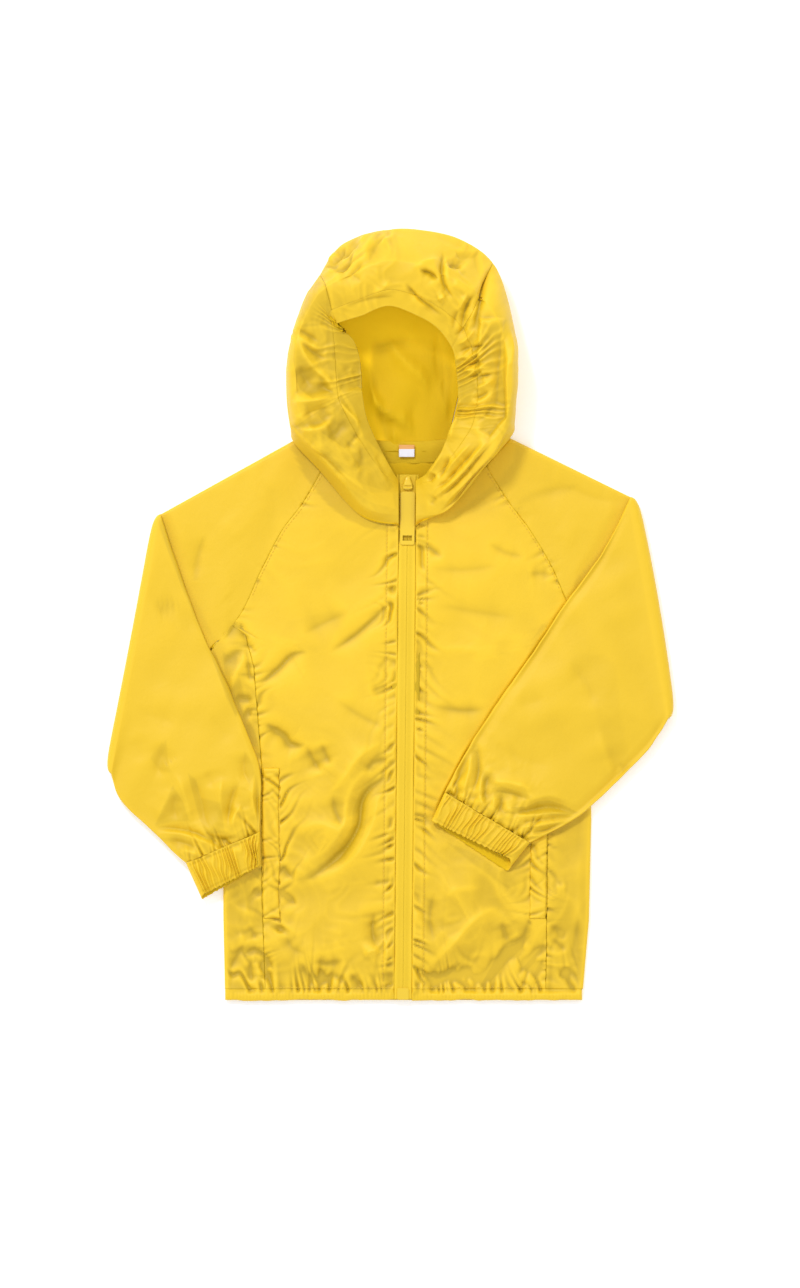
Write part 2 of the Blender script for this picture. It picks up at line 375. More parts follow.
# Where the cloth lies turned from the light and looks deeper, or, below 0, catches it: the outline, how
# much, and over how many mm its edge fades.
Shade = namedtuple("Shade", "outline depth edge")
BODY_SHADES = [
    # under the hood's edge on both sides of the neck
    Shade([(-103, 487), (-97, 478), (-90, 462), (-80, 446), (-66, 430), (-50, 418), (-34, 411), (-8, 407),
        (-8, 420), (-60, 455), (-88, 486)], 0.9, 2),
    Shade([(96, 487), (95, 468), (84, 455), (70, 442), (50, 428), (24, 411), (10, 408), (20, 430),
        (60, 462), (84, 488)], -0.5, 4),
    # beside the folded sleeves
    Shade([(-212, 420), (-206, 414), (-196, 376), (-178, 341), (-161, 304), (-176, 326), (-186, 344),
        (-202, 378), (-212, 404)], 0.25, 1.2),
    Shade([(-166, 306), (-157, 284), (-146, 262), (-131, 236), (-125, 216), (-134, 222), (-152, 262),
        (-168, 300)], 0.9, 1.5),
    Shade([(143, 345), (149, 366), (160, 378), (172, 392), (198, 426), (202, 420), (176, 384), (160, 358)],
        0.75, 1.0),
    Shade([(106, 299), (113, 314), (118, 325), (128, 334), (139, 342), (146, 340), (130, 314), (112, 294)],
        0.5, 1.2),
    Shade([(56, 228), (78, 260), (98, 286), (104, 284), (84, 252), (64, 226)], 0.1, 1.0),
    Shade([(26, 158), (38, 176), (36, 184), (44, 204), (54, 220), (60, 216), (46, 190), (34, 160)],
        0.05, 1.0),
    Shade([(36, 138), (58, 120), (90, 97), (104, 103), (113, 122), (98, 122), (84, 112), (60, 128)], 0.6, 2),
    # the chest
    Shade([(-130, 276), (-116, 285), (-104, 295), (-94, 305), (-97, 300), (-106, 289), (-120, 277)],
        0.5, 1.5),
    Shade([(-112, 314), (-100, 330), (-70, 337), (-46, 342), (-56, 326), (-68, 306), (-92, 300)], 0.18, 4),
    Shade([(-8, 351), (-22, 339), (-42, 322), (-34, 322), (-18, 333), (-8, 345)], 0.3, 1.0),
    Shade([(10, 397), (22, 394), (33, 384), (24, 388), (10, 393)], 0.4, 1.0),
    Shade([(106, 373), (113, 373), (114, 368), (107, 366)], 0.3, 2),
    Shade([(18, 346), (60, 341), (112, 335), (114, 322), (90, 316), (58, 333), (30, 338)], 0.02, 5),
    Shade([(8, 260), (40, 258), (80, 258), (66, 249), (34, 248), (8, 246)], 0.05, 3),
    Shade([(-119, 241), (-101, 233), (-98, 224), (-82, 223), (-84, 219), (-104, 219), (-108, 229),
        (-121, 234)], 0.4, 1.0),
    Shade([(-79, 221), (-69, 221), (-64, 208), (-70, 200), (-77, 210)], 0.3, 3),
    Shade([(-62, 179), (-54, 176), (-51, 160), (-57, 152), (-63, 162)], 0.3, 3),
    Shade([(-33, 203), (-28, 211), (-8, 222), (-7, 206), (-22, 206), (-28, 198)], 0.35, 3),
    Shade([(-126, 130), (-98, 128), (-64, 116), (-88, 102), (-104, 100), (-118, 106)], 0.25, 5),
    Shade([(-110, 420), (110, 420), (125, 330), (80, 255), (-110, 255), (-140, 320)], -0.2, 14),
    Shade([(-8, 203), (-26, 192), (-38, 182), (-45, 165), (-46, 150), (-59, 129), (-81, 113), (-92, 105),
        (-78, 105), (-54, 118), (-36, 142), (-32, 160), (-31, 172), (-22, 182), (-8, 193)], 0.45, 2),
    # above the hem
    Shade([(-158, 100), (-60, 96), (-60, 8), (-158, 8)], 0.12, 10),
    Shade([(14, 128), (100, 124), (100, 14), (14, 14)], 0.12, 10),
    Shade([(-122, 64), (-96, 56), (-78, 44), (-74, 38), (-50, 37), (-30, 30), (-22, 12), (-122, 12)], 0.3, 6),
    Shade([(-29, 64), (-19, 65), (-18, 44), (-29, 43)], 0.45, 2),
    Shade([(-14, 68), (-7, 76), (-7, 12), (-21, 12), (-15, 34)], 0.35, 2),
    Shade([(-18, 121), (-13, 119), (-14, 101), (-18, 100)], 0.5, 1.2),
    Shade([(11, 23), (20, 22), (28, 18), (38, 21), (49, 32), (45, 34), (36, 26), (26, 25)], 0.6, 1.0),
    Shade([(64, 9), (72, 12), (86, 29), (102, 45), (110, 57), (98, 50), (82, 44), (76, 30)], 0.55, 1.0),
    Shade([(84, 62), (98, 72), (106, 76), (112, 66), (108, 56), (96, 48), (85, 45)], 0.4, 2),
    Shade([(96, 20), (108, 34), (118, 45), (128, 47), (127, 43), (119, 40), (110, 29), (99, 18)], 0.45, 1.0),
    Shade([(110, 18), (116, 30), (121, 37), (119, 28), (114, 18)], 0.4, 1.0),
    Shade([(20, 88), (36, 88), (34, 62), (26, 54), (28, 40), (17, 40)], 0.35, 3),
    Shade([(24, 32), (44, 48), (62, 64), (84, 72), (90, 80), (66, 82), (48, 62), (30, 46)], -0.35, 4),
    Shade([(146, 40), (152, 78), (159, 90), (156, 20), (150, 11), (140, 14)], 0.35, 5),
    Shade([(-142, 37), (-130, 43), (-124, 43), (-112, 26), (-117, 28), (-128, 39)], 0.5, 1.0),
    Shade([(-158, 302), (-156, 284), (-148, 266), (-138, 260), (-142, 276), (-146, 292), (-145, 300)],
        0.5, 1.5),
]
SLEEVE_SHADES = {
    "right": [
        Shade([(-216, 420), (-208.5, 399), (-194.5, 362), (-182, 332), (-168.5, 301), (-154.5, 263),
            (-147, 248), (-142, 248), (-149, 265), (-161, 301), (-174, 332), (-187, 362), (-201, 399),
            (-208, 420)], 0.9, 1.5),
        Shade([(-221, 210), (-213, 222), (-207, 226), (-205, 204), (-202, 198), (-212, 200)], 0.4, 2),
        Shade([(-201, 187), (-192, 172), (-187, 156), (-204, 155), (-217, 152), (-208, 172)], 0.5, 1.2),
        Shade([(-188, 197), (-181, 192), (-177, 176), (-160, 172), (-156, 146), (-172, 145), (-178, 158),
            (-184, 180)], 0.55, 1.5),
        Shade([(-143, 191), (-149, 182), (-154, 168), (-153, 157), (-150, 164), (-147, 176)], 0.3, 0.8),
        Shade([(-139, 217), (-132, 206), (-130, 197), (-135, 188), (-140, 200)], 0.4, 1.5),
        Shade([(-172, 146), (-160, 142), (-146, 145), (-138, 152), (-137, 142), (-150, 136), (-166, 138)],
            0.35, 1.2),
        Shade([(-130, 200), (-126, 180), (-124, 142), (-128, 146), (-129, 176)], 0.45, 1),
        Shade([(-214, 141), (-206, 138), (-196, 130), (-182, 128), (-176, 133), (-186, 139), (-200, 142)],
            0.35, 1.5),
        Shade([(-216, 152), (-200, 151), (-180, 147), (-160, 137), (-172, 141), (-190, 146.5),
            (-212, 148)], 0.3, 0.8),
        Shade([(-214, 346), (-204, 347), (-192, 344), (-206, 339), (-216, 334)], 0.3, 2),
    ],
    "left": [
        Shade([(59, 223), (63, 216), (66, 205), (64, 194), (60, 184), (57, 173), (55, 173), (57.5, 190),
            (58.5, 206)], 0.3, 0.8),
        Shade([(66, 200), (72, 199), (79, 197), (79, 190), (72, 187), (66, 185)], 0.45, 1.5),
        Shade([(75, 184.5), (84, 185.5), (100, 182), (112, 177), (110, 174), (98, 178), (84, 181)],
            0.45, 0.8),
        Shade([(87, 163), (92, 168), (106, 168.5), (116, 173), (126, 174), (138, 170), (151, 163),
            (140, 160.5), (124, 161), (100, 162)], 0.75, 0.9),
        Shade([(67, 180), (72, 170), (75, 164), (70, 165), (66, 174)], 0.35, 0.8),
        Shade([(83, 176), (86, 173), (85, 163), (82, 160)], 0.4, 1),
        Shade([(104, 156.5), (122, 158.8), (146, 160.5), (146, 159), (122, 156), (106, 153.5)], 0.25, 0.6),
        Shade([(102, 150), (116, 152.5), (132, 154.5), (150, 157.5), (148, 155), (130, 151), (104, 147.5)],
            0.3, 0.6),
        Shade([(104, 144), (124, 146), (138, 150), (145, 152), (130, 144), (116, 140.5), (104, 140.5)],
            0.3, 0.6),
        Shade([(54, 173), (62, 171), (70, 165), (80, 161), (90, 152), (98, 148), (94, 143), (84, 150),
            (70, 158), (58, 165)], 0.35, 1.2),
        Shade([(142, 295), (150, 301), (172, 300), (184, 290), (187, 250), (196, 208), (184, 202),
            (172, 222), (164, 262)], 0.16, 4),
        Shade([(186, 207), (197, 204), (190, 197)], 0.35, 1.5),
    ],
}
SHOULDER_SHADES = [
    Shade([(-173, 404), (-177, 388), (-179, 366), (-184, 365), (-183, 384), (-176, 402)], 0.35, 1.5),
    Shade([(94, 430), (108, 441), (128, 446), (150, 448), (142, 441), (120, 437)], 0.28, 2),
]
HOOD_SHADES = [
    # the crown
    Shade([(-68, 635), (-58, 631), (-47, 637), (-37, 643), (-28, 653), (-12, 668), (-38, 664), (-54, 652)],
        0.3, 1.5),
    Shade([(-66, 634), (-58, 632), (-46, 638), (-34, 648), (-38, 650), (-50, 641)], 0.35, 1),
    Shade([(-62, 622), (-52, 622), (-50, 606), (-58, 600), (-62, 608)], 0.3, 2),
    Shade([(12, 632), (24, 630), (31, 624), (27, 622), (20, 627)], 0.35, 0.8),
    Shade([(37, 636), (42, 642), (48, 641), (46, 632), (40, 631), (37, 616), (34, 604), (32, 600),
        (35, 620)], 0.3, 1),
    Shade([(38, 641), (48, 641), (54, 632), (46, 624), (38, 622)], 0.35, 1.5),
    Shade([(2, 622), (12, 608), (26, 599), (36, 595), (38, 585), (30, 588), (12, 604)], 0.15, 1),
    Shade([(-62, 652), (60, 654), (80, 624), (-80, 620)], 0.12, 10),
    Shade([(-99, 588), (-87, 590), (-72, 622), (-52, 642), (-20, 656), (-20, 674), (-58, 664), (-84, 636)],
        0.3, 4),
    # down the wearer's right: a dark corner, the casing and two hollows
    Shade([(-84, 616), (-76, 625), (-68, 621), (-64, 608), (-63, 586), (-92, 583), (-88, 604)], 0.55, 2),
    Shade([(-68, 618), (-64, 608), (-62, 584), (-60, 540), (-64, 536), (-68, 560), (-67, 590)], 0.4, 1.5),
    Shade([(-93, 576), (-87, 561), (-80, 551), (-72, 542), (-62, 532), (-61, 526), (-80, 522), (-90, 530),
        (-95, 541), (-96, 556)], 0.75, 1.0),
    Shade([(-96, 497), (-62, 519), (-55, 526), (-48, 513), (-40, 495), (-44, 486), (-52, 479), (-62, 486),
        (-74, 494)], 0.7, 1.2),
    Shade([(-62, 585), (-36, 593), (-30, 562), (-30, 528), (-23, 499), (-14, 470), (-35, 488), (-46, 517),
        (-58, 534), (-62, 560)], 0.8, 2.5),
    Shade([(-46, 482), (-36, 491), (-30, 482), (-18, 460), (-9, 446), (-16, 441), (-34, 441), (-42, 454)],
        0.4, 2),
    Shade([(-74, 480), (-66, 476), (-48, 457), (-46, 452), (-56, 457), (-68, 470)], 0.35, 1.5),
    Shade([(-95, 495), (-84, 488), (-60, 464), (-36, 448), (-10, 441), (-8, 427), (-30, 433), (-60, 455),
        (-88, 484)], -0.4, 2),
    Shade([(-90, 586), (-63, 588), (-60, 546), (-71, 548), (-80, 560), (-84, 575)], 0.45, 2),
    Shade([(-72, 492), (-44, 505), (-36, 480), (-44, 460), (-60, 458), (-72, 474)], 0.35, 3),
    # down the wearer's left
    Shade([(46, 540), (72, 543), (66, 520), (48, 518)], 0.3, 3),
    Shade([(79, 643), (74, 634), (67, 612), (60, 590), (57, 578), (61, 578), (66, 594), (72, 614),
        (79, 634)], 0.3, 0.8),
    Shade([(70, 590), (89, 590), (84, 583), (83, 560), (82, 548), (86, 530), (86, 515), (90, 507),
        (80, 494), (74, 486), (65, 494), (64, 500), (72, 514), (76, 530), (80, 541), (70, 548), (60, 556),
        (66, 576)], 0.5, 1.0),
    Shade([(44, 558), (52, 552), (58, 546), (66, 541), (66, 532), (58, 520), (50, 512), (46, 500),
        (44, 520), (42, 540)], 0.55, 1.5),
    Shade([(37, 586), (44, 584), (52, 572), (58, 560), (48, 556), (42, 566)], 0.35, 1.5),
]
# where light comes through the hood's back, under the overhanging edge of its face
INSIDE_LIGHT = [
    Shade([(-66, 592), (-38, 601), (-14, 610), (10, 602), (30, 592), (50, 566), (44, 552), (24, 566),
        (0, 572), (-24, 570), (-34, 556), (-48, 572)], 1.0, 16),
    Shade([(-44, 580), (-30, 566), (-28, 534), (-25, 512), (-20, 494), (-14, 478), (-26, 476), (-38, 508),
        (-42, 540)], 1.0, 8),
    Shade([(48, 560), (42, 556), (39, 520), (40, 500), (48, 500), (50, 530)], 0.35, 5),
]
INSIDE_FOLDS = [
    Fold([(-31, 545), (-28, 528), (-20, 514), (-8, 508), (2, 503), (10, 490)], 3.4, 3, 5),
    Fold([(-18, 578), (-6, 562), (6, 550), (17, 540), (22, 524)], 2.6, 5, 5),
    Fold([(-30, 512), (-14, 502), (0, 494)], -2.0, 7, 7),
    Fold([(-12, 500), (-8, 490), (-14, 484)], 1.4, 3, 4),
    Fold([(28, 588), (30, 560), (33, 536), (37, 506)], -1.6, 2.5, 2.5),
    Fold([(30, 545), (35, 520), (38, 505)], 1.5, 2.5, 2.5),
    Fold([(10, 590), (2, 570)], 0.9, 6, 6),
    Fold([(24, 524), (14, 512), (12, 498)], -1.2, 6, 6),
]


# ---- Small maths ----
def mix(a, b, t):
    """a at share 0, b at share 1, and a straight blend between: a + (b - a) * t."""
    return a + (b - a) * t


def smooth(t):
    """0 up to t = 0, 1 from t = 1, and t^2 * (3 - 2 * t) between them."""
    t = np.clip(t, 0, 1)
    return t * t * (3 - 2 * t)


def curve_weights(count, t):
    """Catmull-Rom weights of `count` points at shares t of the way along them, one row per t."""
    t = np.atleast_1d(np.asarray(t, float))
    at = np.clip(t, 0, 1) * (count - 1)
    i = np.minimum(at.astype(int), count - 2)
    f = at - i
    basis = [
        -0.5 * f + f**2 - 0.5 * f**3,
        1 - 2.5 * f**2 + 1.5 * f**3,
        0.5 * f + 2 * f**2 - 1.5 * f**3,
        -0.5 * f**2 + 0.5 * f**3,
    ]
    weights = np.zeros((len(t), count))
    for k, b in enumerate(basis):
        np.add.at(weights, (np.arange(len(t)), np.clip(i + k - 1, 0, count - 1)), b)
    return weights


def curved(points, t):
    """The smooth curve through the points, at shares t."""
    points = np.asarray(points, float)
    return np.tensordot(curve_weights(len(points), t), points, axes=1)


def path_coordinates(x, y, path):
    """For each point: its signed distance from the nearest piece of the path, left positive, and how far
    along the path that is, in mm; and the path's length."""
    path = np.asarray(path, float)
    a, step = path[:-1], np.diff(path, axis=0)
    length = np.hypot(step[:, 0], step[:, 1])
    unit = step / length[:, None]
    before = np.concatenate([[0], np.cumsum(length)[:-1]])
    dx, dy = x[:, None] - a[:, 0], y[:, None] - a[:, 1]
    run = np.clip(dx * unit[:, 0] + dy * unit[:, 1], 0, length)
    ex, ey = dx - run * unit[:, 0], dy - run * unit[:, 1]
    far = np.hypot(ex, ey)
    nearest = np.argmin(far, axis=1)
    pick = np.arange(len(x)), nearest
    side = np.sign(unit[nearest, 0] * dy[pick] - unit[nearest, 1] * dx[pick])
    return far[pick] * side, before[nearest] + run[pick], before[-1] + length[-1]


def fold_height(x, y, folds, sharp=1.0):
    """Sum of the folds at each point. Across a fold the height falls off as exp(-distance / reach) from a
    crest rounded over `sharp` mm, and along it it fades out over about a third of it at each end."""
    total = np.zeros(x.shape)
    flat_x, flat_y, out = x.ravel(), y.ravel(), total.reshape(-1)
    for fold in folds:
        path = np.asarray(fold.path, float)
        path = curved(path, np.linspace(0, 1, 4 * (len(path) - 1) + 1)) if len(path) > 2 else path
        reach = 4.5 * max(fold.left, fold.right)
        low, high = path.min(0) - reach, path.max(0) + reach
        near = np.flatnonzero((flat_x > low[0]) & (flat_x < high[0]) & (flat_y > low[1]) & (flat_y < high[1]))
        if not len(near):
            continue
        d, s, length = path_coordinates(flat_x[near], flat_y[near], path)
        ends = smooth(s / (0.36 * length)) * smooth((length - s) / (0.36 * length))
        width = np.where(d > 0, fold.left, fold.right) * (0.5 + 0.5 * ends)
        rounded = np.sqrt(d**2 + sharp**2) - sharp
        out[near] += fold.rise * ends * np.exp(-rounded / width)
    return total


def waves(x, y, rise, length, seed, count=14):
    """Soft unevenness: `count` sine waves of random heading and phase, their lengths spread about
    `length`."""
    rng = np.random.default_rng(seed)
    total = np.zeros(x.shape)
    for _ in range(count):
        heading, phase = rng.uniform(0, 2 * math.pi, 2)
        k = 2 * math.pi / (length * rng.uniform(0.6, 1.7))
        total += np.sin(k * (x * math.cos(heading) + y * math.sin(heading)) + phase)
    return rise * total / math.sqrt(count / 2)


def wander(s, length, seed):
    """The same along one line, between about -1 and 1."""
    return waves(s, np.zeros(s.shape), 0.7, length, seed, 6)


def crumple(x, y, rise, length, seed):
    """Crisp unevenness of a light stiff cloth: ridged waves, rise * (1 - |sin|), bent by softer ones."""
    bend_x = waves(x, y, length * 0.5, length * 2.3, seed + 1)
    bend_y = waves(x, y, length * 0.5, length * 2.3, seed + 2)
    rng = np.random.default_rng(seed)
    total = np.zeros(x.shape)
    for _ in range(7):
        heading, phase = rng.uniform(0, 2 * math.pi, 2)
        k = math.pi / (length * rng.uniform(0.7, 1.9))
        run = k * ((x + bend_x) * math.cos(heading) + (y + bend_y) * math.sin(heading)) + phase
        total += 1 - np.sqrt(np.sin(run) ** 2 + 0.01)
    patch = smooth(0.5 + waves(x, y, 0.6, length * 4, seed + 3))
    return rise * (total / 7 - 0.36) * 2.2 * (0.25 + 0.75 * patch)


def puckers(x, y, path, spacing, reach, rise, slant=0.0, seed=0, split=1, width=0.34):
    """The short drawn-in troughs beside a line of stitching: about `spacing` apart along it, fading out
    away from it over `reach`, and leaning by `slant` mm along it for each mm away. Each trough is 1.5 *
    rise * random^1.6 * exp(-2 * (phase / width)^2) * exp(-(distance / its own reach)^1.5), where phase
    counts the spacings from its middle. With split 1 the two sides of the line differ, and with 0 the
    troughs cross it."""
    d, s, length = path_coordinates(x.ravel(), y.ravel(), path)
    away = np.abs(d)
    lean = slant * (1 + 0.8 * wander(s, 4 * spacing, seed + 2))
    side = split * np.sign(d)
    away_on = away if split else d + reach
    phase = (s + lean * away_on + 3 * side) / spacing
    phase = phase + 0.6 * wander(s, 5.3 * spacing, seed) + 0.2 * wander(s, 2.1 * spacing, seed + 1)
    phase = phase + 0.4 * wander(s, 4.1 * spacing, seed + 3) * side
    cell = np.floor(phase + 0.5)
    random = np.abs(np.sin(cell * 12.9898 + seed * 7.31 + side * 2.7) * 43758.5453) % 1
    other = np.abs(np.sin(cell * 78.233 + seed * 3.17) * 12543.123) % 1
    trough = np.exp(-((phase - cell) / width) ** 2 * 2)
    fade = np.exp(-((away / (reach * (0.35 + other))) ** 1.5))
    ends = smooth(s / 6) * smooth((length - s) / 6)
    return (-1.5 * rise * random**1.6 * trough * fade * ends).reshape(x.shape)


def slope_height(x, y, slopes):
    """Sum of the flat slopes: climb_x * dx + climb_y * dy inside each outline, returning to 0 at its
    edge."""
    total = np.zeros(x.shape)
    for slope in slopes:
        depth = inside(x, y, np.array(slope.outline, float))
        rise = slope.climb_x * (x - slope.level[0]) + slope.climb_y * (y - slope.level[1])
        total += rise * smooth(depth / slope.edge)
    return total


def shading(x, y, shades):
    """Sum of the shades at each point, each depth * smooth(distance inside / edge + 0.5): half on its
    outline."""
    return sum(s.depth * smooth(inside(x, y, np.array(s.outline, float)) / s.edge + 0.5) for s in shades)


def groove(x, y, path, depth, width):
    """The valley that a seam makes: depth * exp(-(distance / width)^2)."""
    d = path_coordinates(x.ravel(), y.ravel(), path)[0]
    return (-depth * np.exp(-((d / width) ** 2))).reshape(x.shape)


def inside(x, y, outline):
    """Signed distance into a closed outline, positive inside: a point is inside where a line from it along
    X crosses the outline an odd number of times."""
    loop = np.vstack([outline, outline[:1]])
    far = np.abs(path_coordinates(x.ravel(), y.ravel(), loop)[0]).reshape(x.shape)
    count = np.zeros(x.shape, int)
    for (x0, y0), (x1, y1) in zip(loop[:-1], loop[1:]):
        crosses = (y0 > y) != (y1 > y)
        at = x0 + (y - y0) * (x1 - x0) / (y1 - y0 if y1 != y0 else 1)
        count += crosses & (x < at)
    return np.where(count % 2 == 1, far, -far)


# ---- Meshes ----
def to_frame(points):
    """Garment sizes in mm to the shared frame in m: (points - ORIGIN) / 1000."""
    return (points - ORIGIN) * 0.001


def make_object(name, points, faces, material):
    """A smooth-shaded mesh in the shared frame. faces is a list of arrays, one for each number of
    corners."""
    mesh = bpy.data.meshes.new(name)
    corners = np.concatenate([f.ravel() for f in faces])
    sizes = np.concatenate([np.full(len(f), f.shape[1]) for f in faces])
    mesh.vertices.add(len(points))
    mesh.vertices.foreach_set("co", to_frame(points).astype(np.float32).ravel())
    mesh.loops.add(len(corners))
    mesh.loops.foreach_set("vertex_index", corners.astype(np.int32))
    mesh.polygons.add(len(sizes))
    mesh.polygons.foreach_set("loop_start", (np.cumsum(sizes) - sizes).astype(np.int32))
    mesh.update(calc_edges=True)
    mesh.polygons.foreach_set("use_smooth", np.ones(len(sizes), bool))
    mesh.materials.append(material)
    obj = bpy.data.objects.new(name, mesh)
    bpy.context.scene.collection.objects.link(obj)
    return obj


def normals_of(grid, ring=False):
    """Unit normals of a grid, from the differences of each point's neighbours."""
    if ring:
        across = np.roll(grid, -1, 1) - np.roll(grid, 1, 1)
    else:
        across = np.gradient(grid, axis=1)
    normal = np.cross(across, np.gradient(grid, axis=0))
    return normal / np.maximum(np.linalg.norm(normal, axis=2, keepdims=True), 1e-9)


def refined(grid, ring=False):
    """A grid with the points midway between its rows and columns put in."""
    between = (grid[:-1] + grid[1:]) / 2
    rows = np.empty((len(grid) + len(between), *grid.shape[1:]))
    rows[::2], rows[1::2] = grid, between
    after = np.roll(rows, -1, 1) if ring else rows[:, 1:]
    middle = (rows[:, : after.shape[1]] + after) / 2
    out = np.empty((rows.shape[0], rows.shape[1] + middle.shape[1], 3))
    out[:, ::2], out[:, 1::2] = rows, middle
    return out


def hidden_side(outer, thick, ring=False):
    """Every second row and column of the outer face, set in by the cloth's thickness, and by more where the
    creases between them are deeper than that."""
    normal = normals_of(outer, ring)
    depth = np.full(outer.shape[:2], float(thick))
    for _ in range(3):
        inner = (outer - depth[..., None] * normal)[::2, ::2]
        gap = ((outer - refined(inner, ring)) * normal).sum(2)
        short = np.pad(np.maximum(0.5 * thick - gap, 0), 1, mode="wrap" if ring else "edge")
        short = np.maximum(np.maximum(short[:-2], short[1:-1]), short[2:])
        depth += np.maximum(np.maximum(short[:, :-2], short[:, 1:-1]), short[:, 2:])
    return inner


def cells_of(index):
    """The four corners of each cell of a grid of point numbers."""
    return np.stack([index[:-1, :-1], index[:-1, 1:], index[1:, 1:], index[1:, :-1]], -1)


def wall_mesh(outer, inner, keep=None, ring=False):
    """Points and faces of the closed wall between a grid and its hidden side, which has every second row
    and column of it. keep masks the hidden side's cells, each of which backs two by two of the grid's."""
    fine = np.arange(outer[..., 0].size).reshape(outer.shape[:2])
    coarse = np.arange(inner[..., 0].size).reshape(inner.shape[:2]) + fine.size
    if ring:
        fine, coarse = np.hstack([fine, fine[:, :1]]), np.hstack([coarse, coarse[:, :1]])
    below, corner = cells_of(coarse), cells_of(fine[::2, ::2])
    middle = np.stack([fine[:-1:2, 1::2], fine[1::2, 2::2], fine[2::2, 1::2], fine[1::2, :-1:2]], -1)
    keep = np.ones(below.shape[:2], bool) if keep is None else keep
    padded = np.pad(keep, 1)
    if ring:
        padded[:, 0], padded[:, -1] = padded[:, -2], padded[:, 1]
    beside = [padded[:-2, 1:-1], padded[1:-1, 2:], padded[2:, 1:-1], padded[1:-1, :-2]]
    rim = []
    for k, there in enumerate(beside):
        edge, after = keep & ~there, (k + 1) % 4
        above, under = corner[edge], below[edge]
        ring_of_five = [above[:, after], middle[edge][:, k], above[:, k], under[:, k], under[:, after]]
        rim.append(np.stack(ring_of_five, -1))
    faces = [cells_of(fine)[np.kron(keep, np.ones((2, 2), bool))], below[keep][:, ::-1], np.concatenate(rim)]
    points = np.concatenate([outer.reshape(-1, 3), inner.reshape(-1, 3)])
    used, renumbered = np.unique(np.concatenate([f.ravel() for f in faces]), return_inverse=True)
    ends = np.cumsum([f.size for f in faces])[:-1]
    faces = [part.reshape(f.shape) for part, f in zip(np.split(renumbered.ravel(), ends), faces)]
    return points[used], faces, used


def neighbour_mean(grid, reach, ring):
    """Mean of the grid's points over a square of 2 * reach + 1 cells; its edges repeat, or wrap round a
    ring."""
    for axis in (0, 1):
        pad = [(reach + 1, reach) if a == axis else (0, 0) for a in range(3)]
        total = np.cumsum(np.pad(grid, pad, mode="wrap" if ring and axis == 1 else "edge"), axis=axis)
        after, before = np.arange(grid.shape[axis]) + 2 * reach + 1, np.arange(grid.shape[axis])
        grid = (np.take(total, after, axis) - np.take(total, before, axis)) / (2 * reach + 1)
    return grid


def hollows(grid, ring=False):
    """How far each point lies below the mean of its near and its wider neighbours, along the normal: 1 deep
    in a crease, less than 0 on a ridge."""
    normal = normals_of(grid, ring)
    total = np.zeros(grid.shape[:2])
    for reach, depth in ((3, 0.7), (10, 3.2)):
        total += ((neighbour_mean(grid, reach, ring) - grid) * normal).sum(2) / depth
    return total


def mark(obj, layer_name, values, used):
    """Keeps a value at each point of the grid, and of its hidden side, for the cloth's material."""
    values = np.concatenate([values.ravel(), values[::2, ::2].ravel()])[used]
    layer = obj.data.attributes.new(layer_name, "FLOAT", "POINT")
    layer.data.foreach_set("value", values.astype(np.float32))


def wall(name, outer, thick, material, keep=None, ring=False, inner=None, tint=1.0, shade=0.0, through=None):
    """A piece of cloth: its outer face is the grid, and its hidden side shows the cloth's reverse. Its
    "hollow" values are tint * hollows + shade."""
    inner = hidden_side(outer, thick, ring) if inner is None else inner
    points, faces, used = wall_mesh(outer, inner, keep, ring)
    points[:, 2] = np.maximum(points[:, 2], 0)
    obj = make_object(name, points, faces, material)
    mark(obj, "hollow", np.clip(tint * hollows(outer, ring) + shade, RIDGE, DEEPEST), used)
    if through is not None:
        mark(obj, "light_through", np.clip(through, 0, 1), used)
    reverse = np.zeros(len(obj.data.polygons), np.int32)
    reverse[len(faces[0]) : len(faces[0]) + len(faces[1])] = 1
    obj.data.materials.append(LINING)
    obj.data.polygons.foreach_set("material_index", reverse)
    return obj


# ---- Materials ----
def by_identifier(sockets, identifier):
    """The socket with this identifier, because a Mix node has several with one name."""
    return next(socket for socket in sockets if socket.identifier == identifier)


def colour_mix(nodes, blend="MIX"):
    """A Mix node for colours, with its two inputs and its output."""
    node = nodes.new("ShaderNodeMix")
    node.data_type, node.blend_type = "RGBA", blend
    ends = by_identifier(node.inputs, "A_Color"), by_identifier(node.inputs, "B_Color")
    return node, *ends, by_identifier(node.outputs, "Result_Color")


def new_group(name, inputs, outputs):
    """An empty node group with these sockets, and the two nodes at its ends."""
    group = bpy.data.node_groups.new(name, "ShaderNodeTree")
    for label, kind in inputs:
        group.interface.new_socket(name=label, in_out="INPUT", socket_type=kind)
    for label, kind in outputs:
        group.interface.new_socket(name=label, in_out="OUTPUT", socket_type=kind)
    ends = group.nodes.new("NodeGroupInput"), group.nodes.new("NodeGroupOutput")
    return group, *ends


